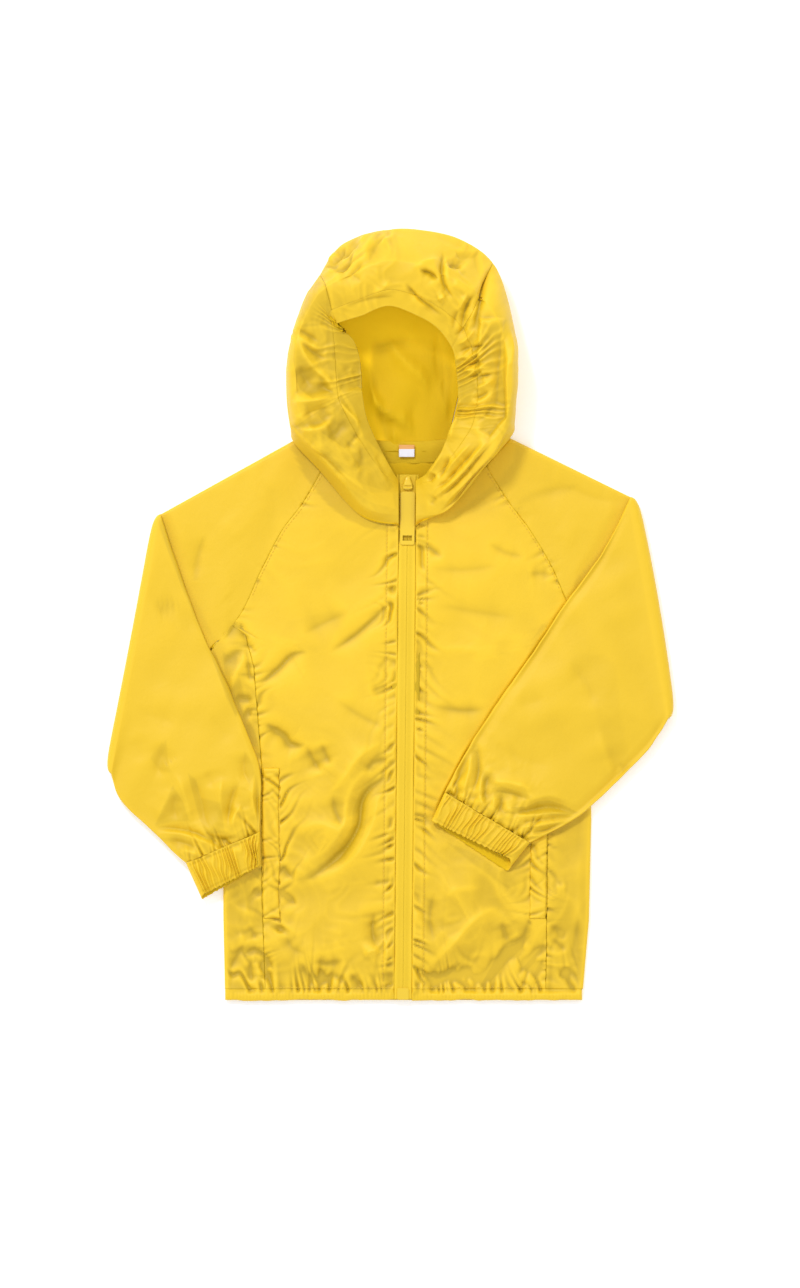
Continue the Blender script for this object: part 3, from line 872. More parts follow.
def weave_group():
    """Height of a fine plain weave with tiny crinkles over it."""
    group, start, end = new_group(
        "Fine_weave",
        [("Thread", "NodeSocketFloat"), ("Crinkle", "NodeSocketFloat")],
        [("Height", "NodeSocketFloat")],
    )
    add, link = group.nodes.new, group.links.new
    place = add("ShaderNodeTexCoord")
    heights = []
    for direction in ("X", "Y"):
        threads = add("ShaderNodeTexWave")
        threads.bands_direction = direction
        threads.inputs["Scale"].default_value = 640
        link(place.outputs["Object"], threads.inputs["Vector"])
        heights.append(threads.outputs["Fac"])
    weave = add("ShaderNodeMath")
    weave.operation = "MULTIPLY"
    link(heights[0], weave.inputs[0])
    link(heights[1], weave.inputs[1])
    thread = add("ShaderNodeMath")
    thread.operation = "MULTIPLY"
    link(weave.outputs[0], thread.inputs[0])
    link(start.outputs["Thread"], thread.inputs[1])
    noise = add("ShaderNodeTexNoise")
    noise.inputs["Scale"].default_value = 85
    noise.inputs["Detail"].default_value = 5
    noise.inputs["Roughness"].default_value = 0.55
    noise.inputs["Distortion"].default_value = 0.6
    link(place.outputs["Object"], noise.inputs["Vector"])
    crinkle = add("ShaderNodeMath")
    crinkle.operation = "MULTIPLY_ADD"
    link(noise.outputs["Fac"], crinkle.inputs[0])
    link(start.outputs["Crinkle"], crinkle.inputs[1])
    link(thread.outputs[0], crinkle.inputs[2])
    link(crinkle.outputs[0], end.inputs["Height"])
    return group


def hollow_tint_group():
    """The cloth's colour: deeper in its hollows, where less light comes through it, and paler on its
    ridges."""
    group, start, end = new_group(
        "Hollow_tint",
        [("Cloth", "NodeSocketColor"), ("Hollow", "NodeSocketFloat")],
        [("Colour", "NodeSocketColor")],
    )
    ramp = group.nodes.new("ShaderNodeMapRange")
    ramp.inputs["From Min"].default_value = RIDGE
    ramp.inputs["From Max"].default_value = DEEPEST
    group.links.new(start.outputs["Hollow"], ramp.inputs["Value"])
    tinted = []
    for change in (RIDGE_TINT, DEEPEST_TINT):
        scaled, from_cloth, by_change, result = colour_mix(group.nodes, "MULTIPLY")
        scaled.inputs["Factor"].default_value = 1
        group.links.new(start.outputs["Cloth"], from_cloth)
        by_change.default_value = (*change, 1)
        tinted.append(result)
    mixed, on_ridge, in_hollow, result = colour_mix(group.nodes)
    group.links.new(ramp.outputs["Result"], mixed.inputs["Factor"])
    group.links.new(tinted[0], on_ridge)
    group.links.new(tinted[1], in_hollow)
    group.links.new(result, end.inputs["Colour"])
    return group


# What the cloth's colour is multiplied by on a ridge and in its deepest hollow.
RIDGE_TINT, DEEPEST_TINT = (1.04, 1.05, 1.3), (0.62, 0.623, 0.02)
WEAVE = weave_group()
HOLLOW_TINT = hollow_tint_group()


def cloth(name, colour, roughness, thread=0.00004, crinkle=0.0006, sheen=0.04, specular=0.5, through=0.0):
    """A cloth's material: its colour deepens in its hollows, its weave is a bump thread and crinkle metres
    high, and through is how much it glows where its "light_through" values say that light comes through
    it."""
    material = bpy.data.materials.new(name)
    material.use_nodes = True
    nodes, link = material.node_tree.nodes, material.node_tree.links.new
    shader = nodes["Principled BSDF"]
    shader.inputs["Base Color"].default_value = (*colour, 1)
    shader.inputs["Roughness"].default_value = roughness
    shader.inputs["Specular IOR Level"].default_value = specular
    shader.inputs["Sheen Weight"].default_value = sheen
    shader.inputs["Sheen Roughness"].default_value = 0.4
    weave = nodes.new("ShaderNodeGroup")
    weave.node_tree = WEAVE
    weave.inputs["Thread"].default_value = thread
    weave.inputs["Crinkle"].default_value = crinkle
    bump = nodes.new("ShaderNodeBump")
    bump.inputs["Strength"].default_value = 0.6
    bump.inputs["Distance"].default_value = 1.0
    link(weave.outputs["Height"], bump.inputs["Height"])
    link(bump.outputs["Normal"], shader.inputs["Normal"])
    hollow = nodes.new("ShaderNodeAttribute")
    hollow.attribute_name = "hollow"
    tint = nodes.new("ShaderNodeGroup")
    tint.node_tree = HOLLOW_TINT
    tint.inputs["Cloth"].default_value = (*colour, 1)
    link(hollow.outputs["Fac"], tint.inputs["Hollow"])
    link(tint.outputs["Colour"], shader.inputs["Base Color"])
    if through:
        lit = nodes.new("ShaderNodeAttribute")
        lit.attribute_name = "light_through"
        glow, unlit, fully_lit, result = colour_mix(nodes)
        link(lit.outputs["Fac"], glow.inputs["Factor"])
        unlit.default_value = (0, 0, 0, 1)
        fully_lit.default_value = (*colour, 1)
        link(result, shader.inputs["Emission Color"])
        shader.inputs["Emission Strength"].default_value = through
    return material


NYLON = cloth("Yellow_nylon", (0.752, 0.480, 0.006), 0.56, specular=0.48)
ELASTIC = cloth("Yellow_nylon_elastic", (0.752, 0.480, 0.006), 0.58, specular=0.45)
LINING = cloth("Yellow_nylon_reverse", (0.74, 0.46, 0.006), 0.6, specular=0.12, sheen=0.0, through=0.45)
NECK_TAPE = cloth("Yellow_neck_tape", (0.68, 0.44, 0.010), 0.7, thread=0.0001, crinkle=0.0, specular=0.2)
TAPE = cloth("Yellow_zip_tape", (0.76, 0.50, 0.016), 0.6, thread=0.0001, crinkle=0.0, sheen=0.1, specular=0.3)
COIL = cloth("Yellow_zip_coil", (0.70, 0.45, 0.014), 0.4, thread=0.0, crinkle=0.0, sheen=0.0)
ENAMEL = cloth("Yellow_enamel", (0.78, 0.52, 0.020), 0.3, thread=0.0, crinkle=0.0, sheen=0.0)
THREAD = cloth("Yellow_thread", (0.75, 0.48, 0.010), 0.55, thread=0.0, crinkle=0.0, sheen=0.2)
LABEL = cloth("White_label", (0.86, 0.85, 0.86), 0.6, thread=0.00008, crinkle=0.0, sheen=0.1, specular=0.3)
LABEL_TOP = cloth(
    "Orange_label_top", (0.84, 0.42, 0.13), 0.6, thread=0.00008, crinkle=0.0, sheen=0.1, specular=0.3
)


# ---- The body ----
def side_x(y, side):
    """x of the body's side at height y of the garment."""
    return np.interp(y, BODY_SIDES[:, 0], BODY_SIDES[:, 1 if side == "right" else 2])


def seam_x(y, side):
    """x of the front's side seam."""
    table = np.array(SIDE_SEAM[side])
    return np.interp(y, table[:, 0], table[:, 1])


def zip_x(y):
    """x of the middle of the zip, which leans a little."""
    return ZIP_FOOT_X + ZIP_LEAN * y


def layer_height(x):
    """Height of the pressed layers: the body's, passing to the arm's beyond ARM_FROM."""
    return mix(BODY_HEIGHT, ARM_HEIGHT, smooth((np.abs(x) - ARM_FROM) / ARM_OVER))


def sleeve_outline(side):
    """The folded sleeve and its cuff seen from above."""
    rows = np.array(SLEEVE_ROWS[side] + [CUFF_END[side]], float)
    return np.vstack([rows[:, :2], rows[::-1, 2:]])


def covered(x, y):
    """1 under a folded sleeve, fading to 0 at 2.2 mm outside it: smooth((distance inside it + 2.2) / 3)."""
    depth = np.maximum(inside(x, y, sleeve_outline("right")), inside(x, y, sleeve_outline("left")))
    return smooth((depth + 2.2) / 3.0)


SEAM_PATHS = {side: np.array([[seam_x(y, side), y] for y in (HEM_DEPTH, 90, 200, 290, 325)]) for side in SIGN}
ZIP_LINE = {s: np.array([[zip_x(y) + s * FACING, y] for y in (8, 150, 300, 420)]) for s in (-1, 1)}
HEM_LINE = np.array([[-156, HEM_DEPTH], [-60, HEM_DEPTH], [60, HEM_DEPTH], [153, HEM_DEPTH]])


def body_top(x, y):
    """Height of the cloth's upper face over the body: the pressed layers, a low loft, and the rise of the
    folds, of soft and crisp unevenness and of the puckers along the zip, seams, welts and hem. The rise
    fades out at the zip's tape and is weaker at the sides. Under a sleeve only an eighth of it is left."""
    across = x - zip_x(y)
    loft = 2.0 * smooth((150 - np.abs(x)) / 110) * smooth(y / 60) * smooth((470 - y) / 60)
    rise = 2.0 * fold_height(x, y, BODY_FOLDS)
    lower = smooth((250 - y) / 130)
    rise += waves(x, y, 1.1, 120, 11) + waves(x, y, 0.4, 42, 12) * (0.4 + lower)
    broad, fine = crumple(x, y, 1.5, 36, 21), crumple(x, y, 0.35, 17, 28)
    rise += broad * (0.2 + 0.8 * lower) + fine * (0.1 + 0.9 * lower)
    near_zip = smooth((NECK_FRONT_Y + 20 - y) / 30)
    for s, slant in ((-1, 0.7), (1, -0.6)):
        facing = ZIP_LINE[s] - [s * 5.2, 0]
        rise += near_zip * puckers(x, y, facing, 9.2, 7.5, 2.6, slant, seed=31 + s, split=0, width=0.42)
        wide = puckers(x, y, ZIP_LINE[s], 13.5, 14, 1.5, slant * 1.3, seed=41 + s, split=0, width=0.3)
        rise += near_zip * (0.35 + 0.65 * lower) * wide
        rise += groove(x, y, ZIP_LINE[s], 0.3, 0.9)
    for side, s in SIGN.items():
        path = SEAM_PATHS[side]
        rise += puckers(x, y, path, 8.5, 8, 1.5, 0.5 * s, seed=51 + s) + groove(x, y, path, 0.15, 0.9)
        welt = path[:3] - [s * 15.5, 0]
        beside_welt = smooth((214 - y) / 10) * smooth((y - 64) / 6)
        rise += beside_welt * puckers(x, y, welt, 10.5, 11, 2.8, 0.9 * s, seed=61 + s)
        raglan = curved(RAGLAN[side], np.linspace(0.12, 1, 12))
        rise += puckers(x, y, raglan, 10, 7, 0.9, 0.3, seed=71 + s) + groove(x, y, raglan, 0.14, 0.9)
    gathers = puckers(x, y, HEM_LINE, 8.4, 18, 3.0, 0.5, seed=81)
    gathers = gathers + puckers(x, y, HEM_LINE, 15, 22, 2.0, -0.35, seed=91, width=0.28)
    rise += gathers * smooth((y - HEM_DEPTH + 2) / 3)
    rise *= smooth((np.abs(across) - ZIP_HALF + 1) / 4)
    rise *= 1 - 0.6 * smooth((np.abs(x) - 150) / 8)
    doubled = 0.5 * smooth((FACING + 1 - np.abs(across)) / 3)  # the facing is a second layer beside the zip
    rolled = 0.9 * smooth((ZIP_HALF + 1.4 - np.abs(across)) / 1.4) ** 2  # the front's edge rolls down to it
    edge = doubled - rolled
    top = layer_height(x) + loft + rise + edge * smooth((470 - y) / 8)
    flat = layer_height(x) + 0.12 * np.clip(rise, -4, 4)
    return np.maximum(mix(top, flat, covered(x, y)), 2.4)


def front_panel(side, rows=301, cols=127):
    """A front: each row runs from the zip's edge out to the side seam or the raglan seam."""
    s = SIGN[side]
    sides = np.linspace(HEM_DEPTH + 0.02, 318, int(rows * 0.68))
    seam = np.stack([seam_x(sides, side), sides], -1)
    raglan = curved(RAGLAN[side], np.linspace(0.86, FRONT_NECK_T, rows - len(sides) + 1))[1:]
    edge = np.vstack([seam - [s * SEAM_GAP, 0], raglan - [s * 0.02, 0]])
    height = np.linspace(sides[0], NECK_FRONT_Y + 3, rows)
    start = np.stack([zip_x(height) + s * (ZIP_HALF + 0.2), height], -1)
    share = np.linspace(0, 1, cols) ** 1.12
    plan = start[:, None] + (edge - start)[:, None] * share[None, :, None]
    plan = plan if side == "left" else plan[:, ::-1]
    z = body_top(plan[..., 0], plan[..., 1])
    shade = shading(plan[..., 0], plan[..., 1], BODY_SHADES)
    return wall(f"front_{side}_cloth", np.dstack([plan, z]), CLOTH, NYLON, shade=shade)


def wrap_fold(y, side):
    """Where the back turns over at the side; above the underarm, where its front part ends at the raglan
    seam."""
    seam = np.array(RAGLAN[side][::-1], float)
    return np.where(y <= seam[0, 1], side_x(y, side), np.interp(y, seam[:, 1], seam[:, 0]))


def back_panel():
    """The back: a C round each side fold. Its rows run up from the hem. Above the underarms the part on the
    floor narrows between the raglan seams to the neck, and the part on top ends at them."""
    flat, floor, bend = 37, 26, 7  # columns of its flat part on top, of the floor and of half a side fold
    near_hem, to_underarm = np.linspace(HEM_DEPTH + 0.02, 110, 71), np.linspace(112, UNDERARM_Y, 84)
    low = np.concatenate([near_hem, to_underarm, np.linspace(305.6, 342.8, 16)])
    y = low[:, None]
    parts = []
    radius = mix(3.2, 0.1, smooth((y - 290) / (UNDERARM_Y - 290)))
    angle = np.linspace(0, math.pi, 2 * bend + 1)[None, 1:-1]
    for side, s in (("left", 1), ("right", -1)):
        fold = wrap_fold(y, side)
        on_top = mix(seam_x(y, side) + s * SEAM_GAP, fold - s * radius, np.linspace(0, 1, flat)[None])
        round_x = fold - s * radius * (1 - np.sin(angle))
        under = mix(fold - s * radius, 0 * fold, np.linspace(0, 1, floor // 2 + 1)[None])
        under = under[:, :-1] if s > 0 else under
        level = np.concatenate([np.ones(flat), np.cos(angle[0]), -np.ones(under.shape[1])])
        x = np.hstack([on_top, round_x, under])
        parts.append((x, level) if s > 0 else (x[:, ::-1], level[::-1]))
    x = np.hstack([parts[0][0], parts[1][0]])
    level = np.concatenate([parts[0][1], parts[1][1]])[None]
    ys = np.repeat(y, x.shape[1], 1)
    top = body_top(x, ys)
    z = np.where(level > 0.999, top, np.where(level < -0.999, 0, top * (1 + level) / 2))
    lower = np.dstack([x, ys, z])
    corner = flat + 2 * bend - 1
    upper_rows = []
    for t in np.linspace(0.8, 0, 26):
        xr, yr = curved(RAGLAN["right"], t)[0]
        xl = curved(RAGLAN["left"], t)[0][0]
        share = np.clip((np.arange(x.shape[1]) - corner) / (x.shape[1] - 1 - 2 * corner), 0, 1)
        xs = mix(xl - SEAM_GAP, xr + SEAM_GAP, share)
        neck = smooth((yr - 400) / 80) * (back_neck_y(xs) - RAGLAN["right"][0][1])
        upper_rows.append(np.stack([xs, yr + neck, 0 * xs], -1))
    upper = np.array(upper_rows)
    upper = upper[upper[:, :, 1].mean(1) > low[-1] + 1]
    grid = np.concatenate([lower, upper])
    grid = np.delete(grid, len(low), 0) if len(grid) % 2 == 0 else grid
    keep = np.ones(((grid.shape[0] - 1) // 2, (grid.shape[1] - 1) // 2), bool)
    above, turned = (len(low) - 1) // 2, np.flatnonzero(low >= UNDERARM_Y - 0.01)[0] // 2
    sides, wraps = corner // 2, (flat - 1) // 2
    keep[above:, :sides] = keep[above:, -sides:] = False
    keep[turned:, wraps:sides] = keep[turned:, -sides:-wraps] = False
    keep[(np.flatnonzero(low > 335)[0] - 1) // 2 :, -sides:] = False
    shade = 0.35 + shading(grid[..., 0], grid[..., 1], BODY_SHADES)
    return wall("back_cloth", grid, CLOTH, NYLON, keep=keep, shade=shade)


def hem_band():
    """The narrow elastic band: rounded across its depth, drawn into ripples about 3 mm long, and rising to
    meet the body along its seam."""
    depth = np.linspace(0, HEM_DEPTH, 17)[:, None]
    bend, radius = 7, 2.9
    angle = np.linspace(0, math.pi, 2 * bend + 1)[None, 1:-1]
    left, right = side_x(0.0, "left"), side_x(0.0, "right")
    start = [zip_x(4) + s * (ZIP_HALF + 0.3) for s in (1, -1)]
    half, under = 170, 61  # columns along each half of the front, and along the back
    xs = np.hstack(
        [
            np.linspace(start[0], left - radius, half),
            left - radius * (1 - np.sin(angle[0])),
            np.linspace(left - radius, right + radius, under),
            right + radius * (1 - np.sin(angle[0][::-1])),
            np.linspace(right + radius, start[1], half),
        ]
    )
    turn = np.cos(angle[0])
    level = np.hstack([np.ones(half), turn, -np.ones(under), turn[::-1], np.ones(half)])
    x, y = np.meshgrid(xs, depth[:, 0])
    wobble = 0.5 * wander(x, 38, 5) + 0.25 * wander(x, 11, 6)
    ripple = 0.16 * np.sin(x * 2 * math.pi / 3.1 + 1.5 * wander(x, 19, 7)) + 0.4 * wander(x, 17, 8)
    crown = np.sqrt(np.clip(1 - (2 * y / HEM_DEPTH - 1) ** 2, 0, 1))
    high = BODY_HEIGHT - 1.2 + 1.9 * crown + ripple * crown
    above = body_top(x, np.full(x.shape, HEM_DEPTH + 0.2)) - 0.05
    high = mix(high, above, smooth((y - 4.6) / 4.6))
    z = np.where(level > 0.999, high, np.where(level < -0.999, 0, high * (1 + level) / 2))
    y = y + wobble * (1 - y / HEM_DEPTH) * (level > -0.5)
    return wall("hem_band_cloth", np.dstack([x, y, z]), 0.8, ELASTIC)


def pocket_welt(side, rows=141, cols=17):
    """The welt: a folded strip on the front, open on the side seam's side, with its ends stitched down."""
    s = SIGN[side]
    y = np.linspace(71, 202, rows)[:, None]
    across = np.linspace(0.6, 14.6, cols)[None]
    uneven = 0.5 * wander(y, 46, 15 + s) * smooth((y - 71) / 20) * smooth((202 - y) / 20)
    outer_edge = seam_x(y, side) - s * (0.4 + uneven)
    x = outer_edge - s * across
    y = y + 0 * x
    crown = 1 - (2 * across / 15.2 - 1) ** 6
    ends = smooth((y - 70.6) / 2) * smooth((202.4 - y) / 2)
    lift = 0.35 + 1.25 * crown * ends + 0.45 * wander(y, 15, 17 + s) * (across / 15) * ends
    inner_edge = np.array([[seam_x(v, side) - s * 15.2, v] for v in (70, 130, 203)])
    lift = lift + puckers(x, y, inner_edge, 8.5, 5, 0.8, 0.5, seed=19 + s)
    flat = body_top(x, y)
    z = np.maximum(flat + lift, flat + 0.15)
    z = np.where(covered(x, y) > 0.5, np.minimum(z, BODY_HEIGHT + 1.3), z)
    grid = np.dstack([x, y, z])
    grid = grid if side == "right" else grid[:, ::-1]
    return wall(f"pocket_welt_{side}_cloth", grid, 0.6, NYLON)


# ---- The sleeves ----
def tube_stations(width, height, top, under):
    """Shares v across a flattened tube, and levels: 0 at the inner edge, +1 on one wall, 0 at the outer
    edge, -1 on the other. The edges are half circles."""
    reach = height / 2 / width
    turn = np.linspace(0, math.pi / 2, 7)[1:]
    bend_v, bend_level = reach * (1 - np.cos(turn)), np.sin(turn)

    def half(count):
        flat = np.linspace(reach, 1 - reach, count)[1:-1]
        v = np.concatenate([bend_v, flat, 1 - bend_v[::-1]])
        return v, np.concatenate([bend_level, np.ones(len(flat)), bend_level[::-1]])

    (va, la), (vb, lb) = half(top), half(under)
    return np.concatenate([[0], va, [1], vb[::-1]]), np.concatenate([[0], la, [0], -lb[::-1]])


# How many rings the sleeve has before its fold, round the fold and after it, how many columns each wall has,
# and the share of each ring that lies along the neck.
UPPER_RINGS, FOLD_RINGS, LOWER_RINGS, WALL_COLUMNS = 55, 15, 105, 108
NECK_SHARE = 0.1


def sleeve_grid(side):
    """Rings of the sleeve: out from the neck and raglan seam, round the fold, and back over the front."""
    rows = np.array(SLEEVE_ROWS[side], float)
    fold_inner, fold_outer = rows[0, :2], rows[0, 2:]
    fold_width = np.linalg.norm(fold_outer - fold_inner)
    v, level = tube_stations(fold_width, ARM_HEIGHT, WALL_COLUMNS, WALL_COLUMNS)
    upper = shoulder_rings(side, fold_inner, fold_outer, v, level)
    turned = fold_rings(side, fold_inner, fold_outer, v, level)
    share = np.linspace(0, 1, LOWER_RINGS + 1)[1:]
    share = mix(share, 1 - (1 - share) ** 2, 0.55)  # closer together towards the cuff
    inner, outer = curved(rows[:, :2], share), curved(rows[:, 2:], share)
    return np.concatenate([upper, turned, folded_rings(side, inner, outer, v, level, share)])


def shoulder_rings(side, fold_inner, fold_outer, v, level):
    """The part that runs out from the neck and the raglan seam, straight to just short of the fold. Its
    upper wall has its own folds, joins the front's height within 32 mm of the seam, and is flat under the
    folded part."""
    s = SIGN[side]
    seam_top = FRONT_NECK_T * (1 + level) / 2
    corner = curved(RAGLAN[side], seam_top)
    along_neck = np.clip(v / NECK_SHARE, 0, 1)[:, None]
    on_neck = mix(np.array(SHOULDER_NECK[side], float), corner, along_neck)
    on_raglan = curved(RAGLAN[side], mix(seam_top, 1, np.clip((v - NECK_SHARE) / (1 - NECK_SHARE), 0, 1)))
    start = np.where((v < NECK_SHARE)[:, None], on_neck, on_raglan) + [s * 0.02, 0]
    end = mix(fold_inner, fold_outer, v[:, None])
    u = np.linspace(0, 0.965, UPPER_RINGS)[:, None, None]
    plan = start + (end - start) * u
    x, y = plan[..., 0], plan[..., 1]
    shown = smooth((-inside(x, y, sleeve_outline(side)) - 1) / 10)
    top_wall = np.clip(level, 0, 1)
    relief = 1.5 * fold_height(x, y, UPPER_FOLDS[side])
    relief = relief + waves(x, y, 0.6, 90, 101 + s) + crumple(x, y, 0.6, 30, 111 + s)
    raglan = curved(RAGLAN[side], np.linspace(0.05, 1, 14))
    relief += puckers(x, y, raglan, 9.5, 8, 0.9, 0.5, seed=121 + s) + groove(x, y, raglan, 0.14, 0.9)
    relief += 1.2 * shown * smooth((200 - np.abs(x)) / 60)
    relief = np.where(shown > 0, relief * mix(0.1, 1, shown), 0.1 * np.clip(relief, -2, 2))
    base = layer_height(x)
    from_seam = np.abs(path_coordinates(x.ravel(), y.ravel(), raglan)[0]).reshape(x.shape)
    relief = mix(body_top(x, y) - base, relief, smooth(from_seam / 32))
    return np.dstack([x, y, base / 2 * (1 + level) + relief * top_wall])


def fold_rings(side, fold_inner, fold_outer, v, level):
    """The turn at the fold: half circles about the gap between the two parts, rounded off at the sleeve's
    edges and bowed out in the middle by FOLD_BULGE."""
    s = SIGN[side]
    out_dir = np.array([s * (fold_inner[1] - fold_outer[1]), abs(fold_outer[0] - fold_inner[0])])
    out_dir = out_dir / np.linalg.norm(out_dir)
    bow = FOLD_BULGE[side] * 4 * v * (1 - v)
    turn = np.linspace(0, 1, FOLD_RINGS)[:, None] * math.pi
    outer_radius = ARM_HEIGHT + LAYER_GAP / 2
    radius = mix(LAYER_GAP / 2, outer_radius, (1 - level) / 2)
    corner_round = np.sqrt(np.clip(1 - (2 * v - 1) ** 14, 0, 1))
    outward = radius * np.sin(turn) * corner_round + bow
    centre = mix(fold_inner, fold_outer, v[:, None])
    plan = centre + out_dir * outward[..., None]
    return np.dstack([plan, outer_radius - radius * np.cos(turn)])


def folded_rings(side, inner, outer, v, level, share):
    """The folded part, from the fold to the cuff. Its lower wall follows the front. Its upper wall is the
    pressed sleeve's height with a puff towards the middle and the wrist, the folds, and puckers above the
    cuff's seam."""
    s = SIGN[side]
    plan = mix(inner[:, None], outer[:, None], v[None, :, None])
    x, y = plan[..., 0], plan[..., 1]
    width = np.linalg.norm(outer - inner, axis=1)[:, None]
    edge = np.minimum(v, 1 - v)[None] * width
    ramp = share[:, None]
    top_wall = np.clip(-level, 0, 1)[None] * smooth(edge / 5)
    puff = 1.6 * smooth(ramp / 0.3) * smooth(edge / 50)
    seam = np.vstack([inner[-1], outer[-1]])
    wrist = smooth((ramp - 0.55) / 0.35)
    relief = 1.7 * fold_height(x, y, SLEEVE_FOLDS[side], 0.9)
    relief = relief + waves(x, y, 1.0, 100, 131 + s) + waves(x, y, 0.3, 36, 133 + s)
    broad, fine = crumple(x, y, 1.3, 30, 135 + s), crumple(x, y, 0.8, 13, 139 + s)
    relief += broad * (0.15 + 0.85 * wrist) + fine * wrist
    close_set = puckers(x, y, seam, 4.6, 13, 3.4, 0.2, seed=145 + s)
    relief += close_set + puckers(x, y, seam, 9.5, 24, 2.6, -0.3, seed=147 + s)
    relief += groove(x, y, seam, CUFF_SEAM_DEPTH[side], 2.6)
    calm = smooth(ramp / 0.12)
    relief = relief + EDGE_RISE[side] * (1 - smooth(edge / 13))
    base = layer_height(x) + LAYER_GAP
    lower_z = base + (-1.3 + 0.15 * np.clip(waves(x, y, 0.6, 80, 137 + s), -1, 1)) * calm
    raised = puff + WRIST_PUFF[side] * wrist * smooth(edge / 16) + relief * calm
    upper_z = base + ARM_HEIGHT - 1.3 * calm + raised * top_wall
    half = (1 - level)[None] / 2
    z = mix(lower_z, np.maximum(upper_z, lower_z + 1.6 * half), half)
    jitter = 0.45 * (wander(y, 60, 141 + s) + 0.5 * wander(y, 17, 143 + s)) * calm * smooth((8 - edge) / 8)
    return np.dstack([x + jitter, y, z])


def sleeve(side):
    """The sleeve's cloth. Its tint grows towards the wrist, and each part of it takes its own shades."""
    grid = sleeve_grid(side)
    grid = grid if side == "left" else grid[:, ::-1]
    wrist = smooth((np.arange(len(grid)) - 0.72 * len(grid)) / (0.2 * len(grid)))[:, None]
    x, y = grid[..., 0], grid[..., 1]
    rings = np.arange(len(grid))[:, None]
    shade = shading(x, y, BODY_SHADES + SHOULDER_SHADES) * (rings < UPPER_RINGS)
    edge = 1 - smooth(np.abs(inside(x, y, sleeve_outline(side))) / 4)
    lower = shading(x, y, SLEEVE_SHADES[side]) - EDGE_PALER[side] * edge * (1 - wrist)
    shade = shade + lower * smooth((rings - UPPER_RINGS - 10) / 8)
    return wall(f"sleeve_{side}_cloth", grid, CLOTH, NYLON, ring=True, tint=0.12 + 0.6 * wrist, shade=shade)


def cuff(side):
    """The elastic cuff: pleats run from its seam to its end, drawn in between two lines of stitching.
    Across them the height is PLEAT_HEIGHT * (0.5 + 0.5 * cos(turns))^1.3, one turn every 4.3 mm or so."""
    s = SIGN[side]
    begin, end = np.array(SLEEVE_ROWS[side][-1], float), np.array(CUFF_END[side], float)
    rows = np.linspace(0.002, 1, 33)[:, None]
    inner, outer = mix(begin[:2], end[:2], rows), mix(begin[2:], end[2:], rows)
    width = np.linalg.norm(outer[0] - inner[0])
    v, level = tube_stations(width, ARM_HEIGHT + 1.5, 60, 230)
    r = np.linspace(0, 1, len(rows))[:, None]
    plan = mix(inner[:, None], outer[:, None], v[None, :, None])
    drop = v * (1 + level) / 2
    plan = plan + (r * drop)[..., None] * np.array(CUFF_UNDER[side])
    x, y = plan[..., 0], plan[..., 1]
    run = v[None] * width + 0 * r
    pleat_at = run / 4.3 + 0.5 * wander(run, 23, 151 + s) + 0.3 * wander(run + 8 * r, 11, 153 + s)
    pleat_at = pleat_at + 0.25 * wander(r * 22 + run, 15, 157 + s)
    pleat = (0.5 + 0.5 * np.cos(2 * math.pi * pleat_at)) ** 1.3
    size = np.clip(0.8 + 0.35 * wander(run + 5 * r, 12, 155 + s), 0.35, 1.15)
    stitched = np.exp(-(((r - 0.1) / 0.035) ** 2)) + np.exp(-(((r - 0.9) / 0.03) ** 2))
    body = smooth(r / 0.08) * (1 - 0.25 * np.abs(2 * r - 1))
    edge = smooth(np.minimum(run, width - run) / 4)
    crown = 2.2 * np.sin(math.pi * r) ** 0.6
    lift = (PLEAT_HEIGHT[side] * pleat * size - 1.2 + crown) * body - 0.6 * stitched
    base = layer_height(x) + LAYER_GAP
    thick = ARM_HEIGHT + 0.8
    wall_side = -level[None]
    z = base + thick / 2 * (1 - level[None]) + lift * edge * np.clip(wall_side, -0.25, 1)
    wobble = 0.5 * np.sin(math.pi * pleat_at * 2) * smooth((r - 0.8) / 0.2)
    grid = np.dstack([x, y + wobble, np.maximum(z, base - 0.2)])
    grid = grid if side == "left" else grid[:, ::-1]
    return wall(f"cuff_{side}_cloth", grid, 0.7, ELASTIC, ring=True, tint=CUFF_HOLLOWS[side])


# ---- The hood ----
# A row's usual width at the seams and at the gathered edge, and its length to the floor, in mm.
ROW_WIDTH, EDGE_WIDTH, ROW_LENGTH = 22, 13.0, 180
# Where the side panels' seams end under the crown's fold, and the gap between panels as a share of a row.
SIDE_FOOT = {"right": [-67.3, 619, 0], "left": [72.3, 630, 0]}
ROW_GAP = 0.003


def hood_form(rows, shares, seams, seams_from):
    """The hood's outer face: from each row's face edge over the crest and the rim to its foot on one smooth
    curve, then straight to the seam that ends it."""
    columns = np.tensordot(curve_weights(LAST_ROW + 1, rows / LAST_ROW), HOOD_ROWS, axes=1)
    climb = np.minimum(shares / FLOOR_SHARE, 1)
    flat_faces = np.maximum(0, 1 - np.abs(3 * climb[:, None] - np.arange(4)))
    up = mix(curve_weights(4, climb), flat_faces, 0.35)
    rising = np.einsum("sk,rkc->rsc", up, columns[:, :4])
    t = (rows - seams_from) / (len(seams) - 1)
    at = np.clip(t, 0, 1) * (len(seams) - 1)
    seam = np.stack([np.interp(at, np.arange(len(seams)), seams[:, k]) for k in range(3)], -1)
    lying = np.clip((shares - FLOOR_SHARE) / (1 - FLOOR_SHARE), 0, 1)[None, :, None]
    grid = mix(rising, seam[:, None], lying)
    grid[..., 2] = np.maximum(grid[..., 2], 0)
    return grid


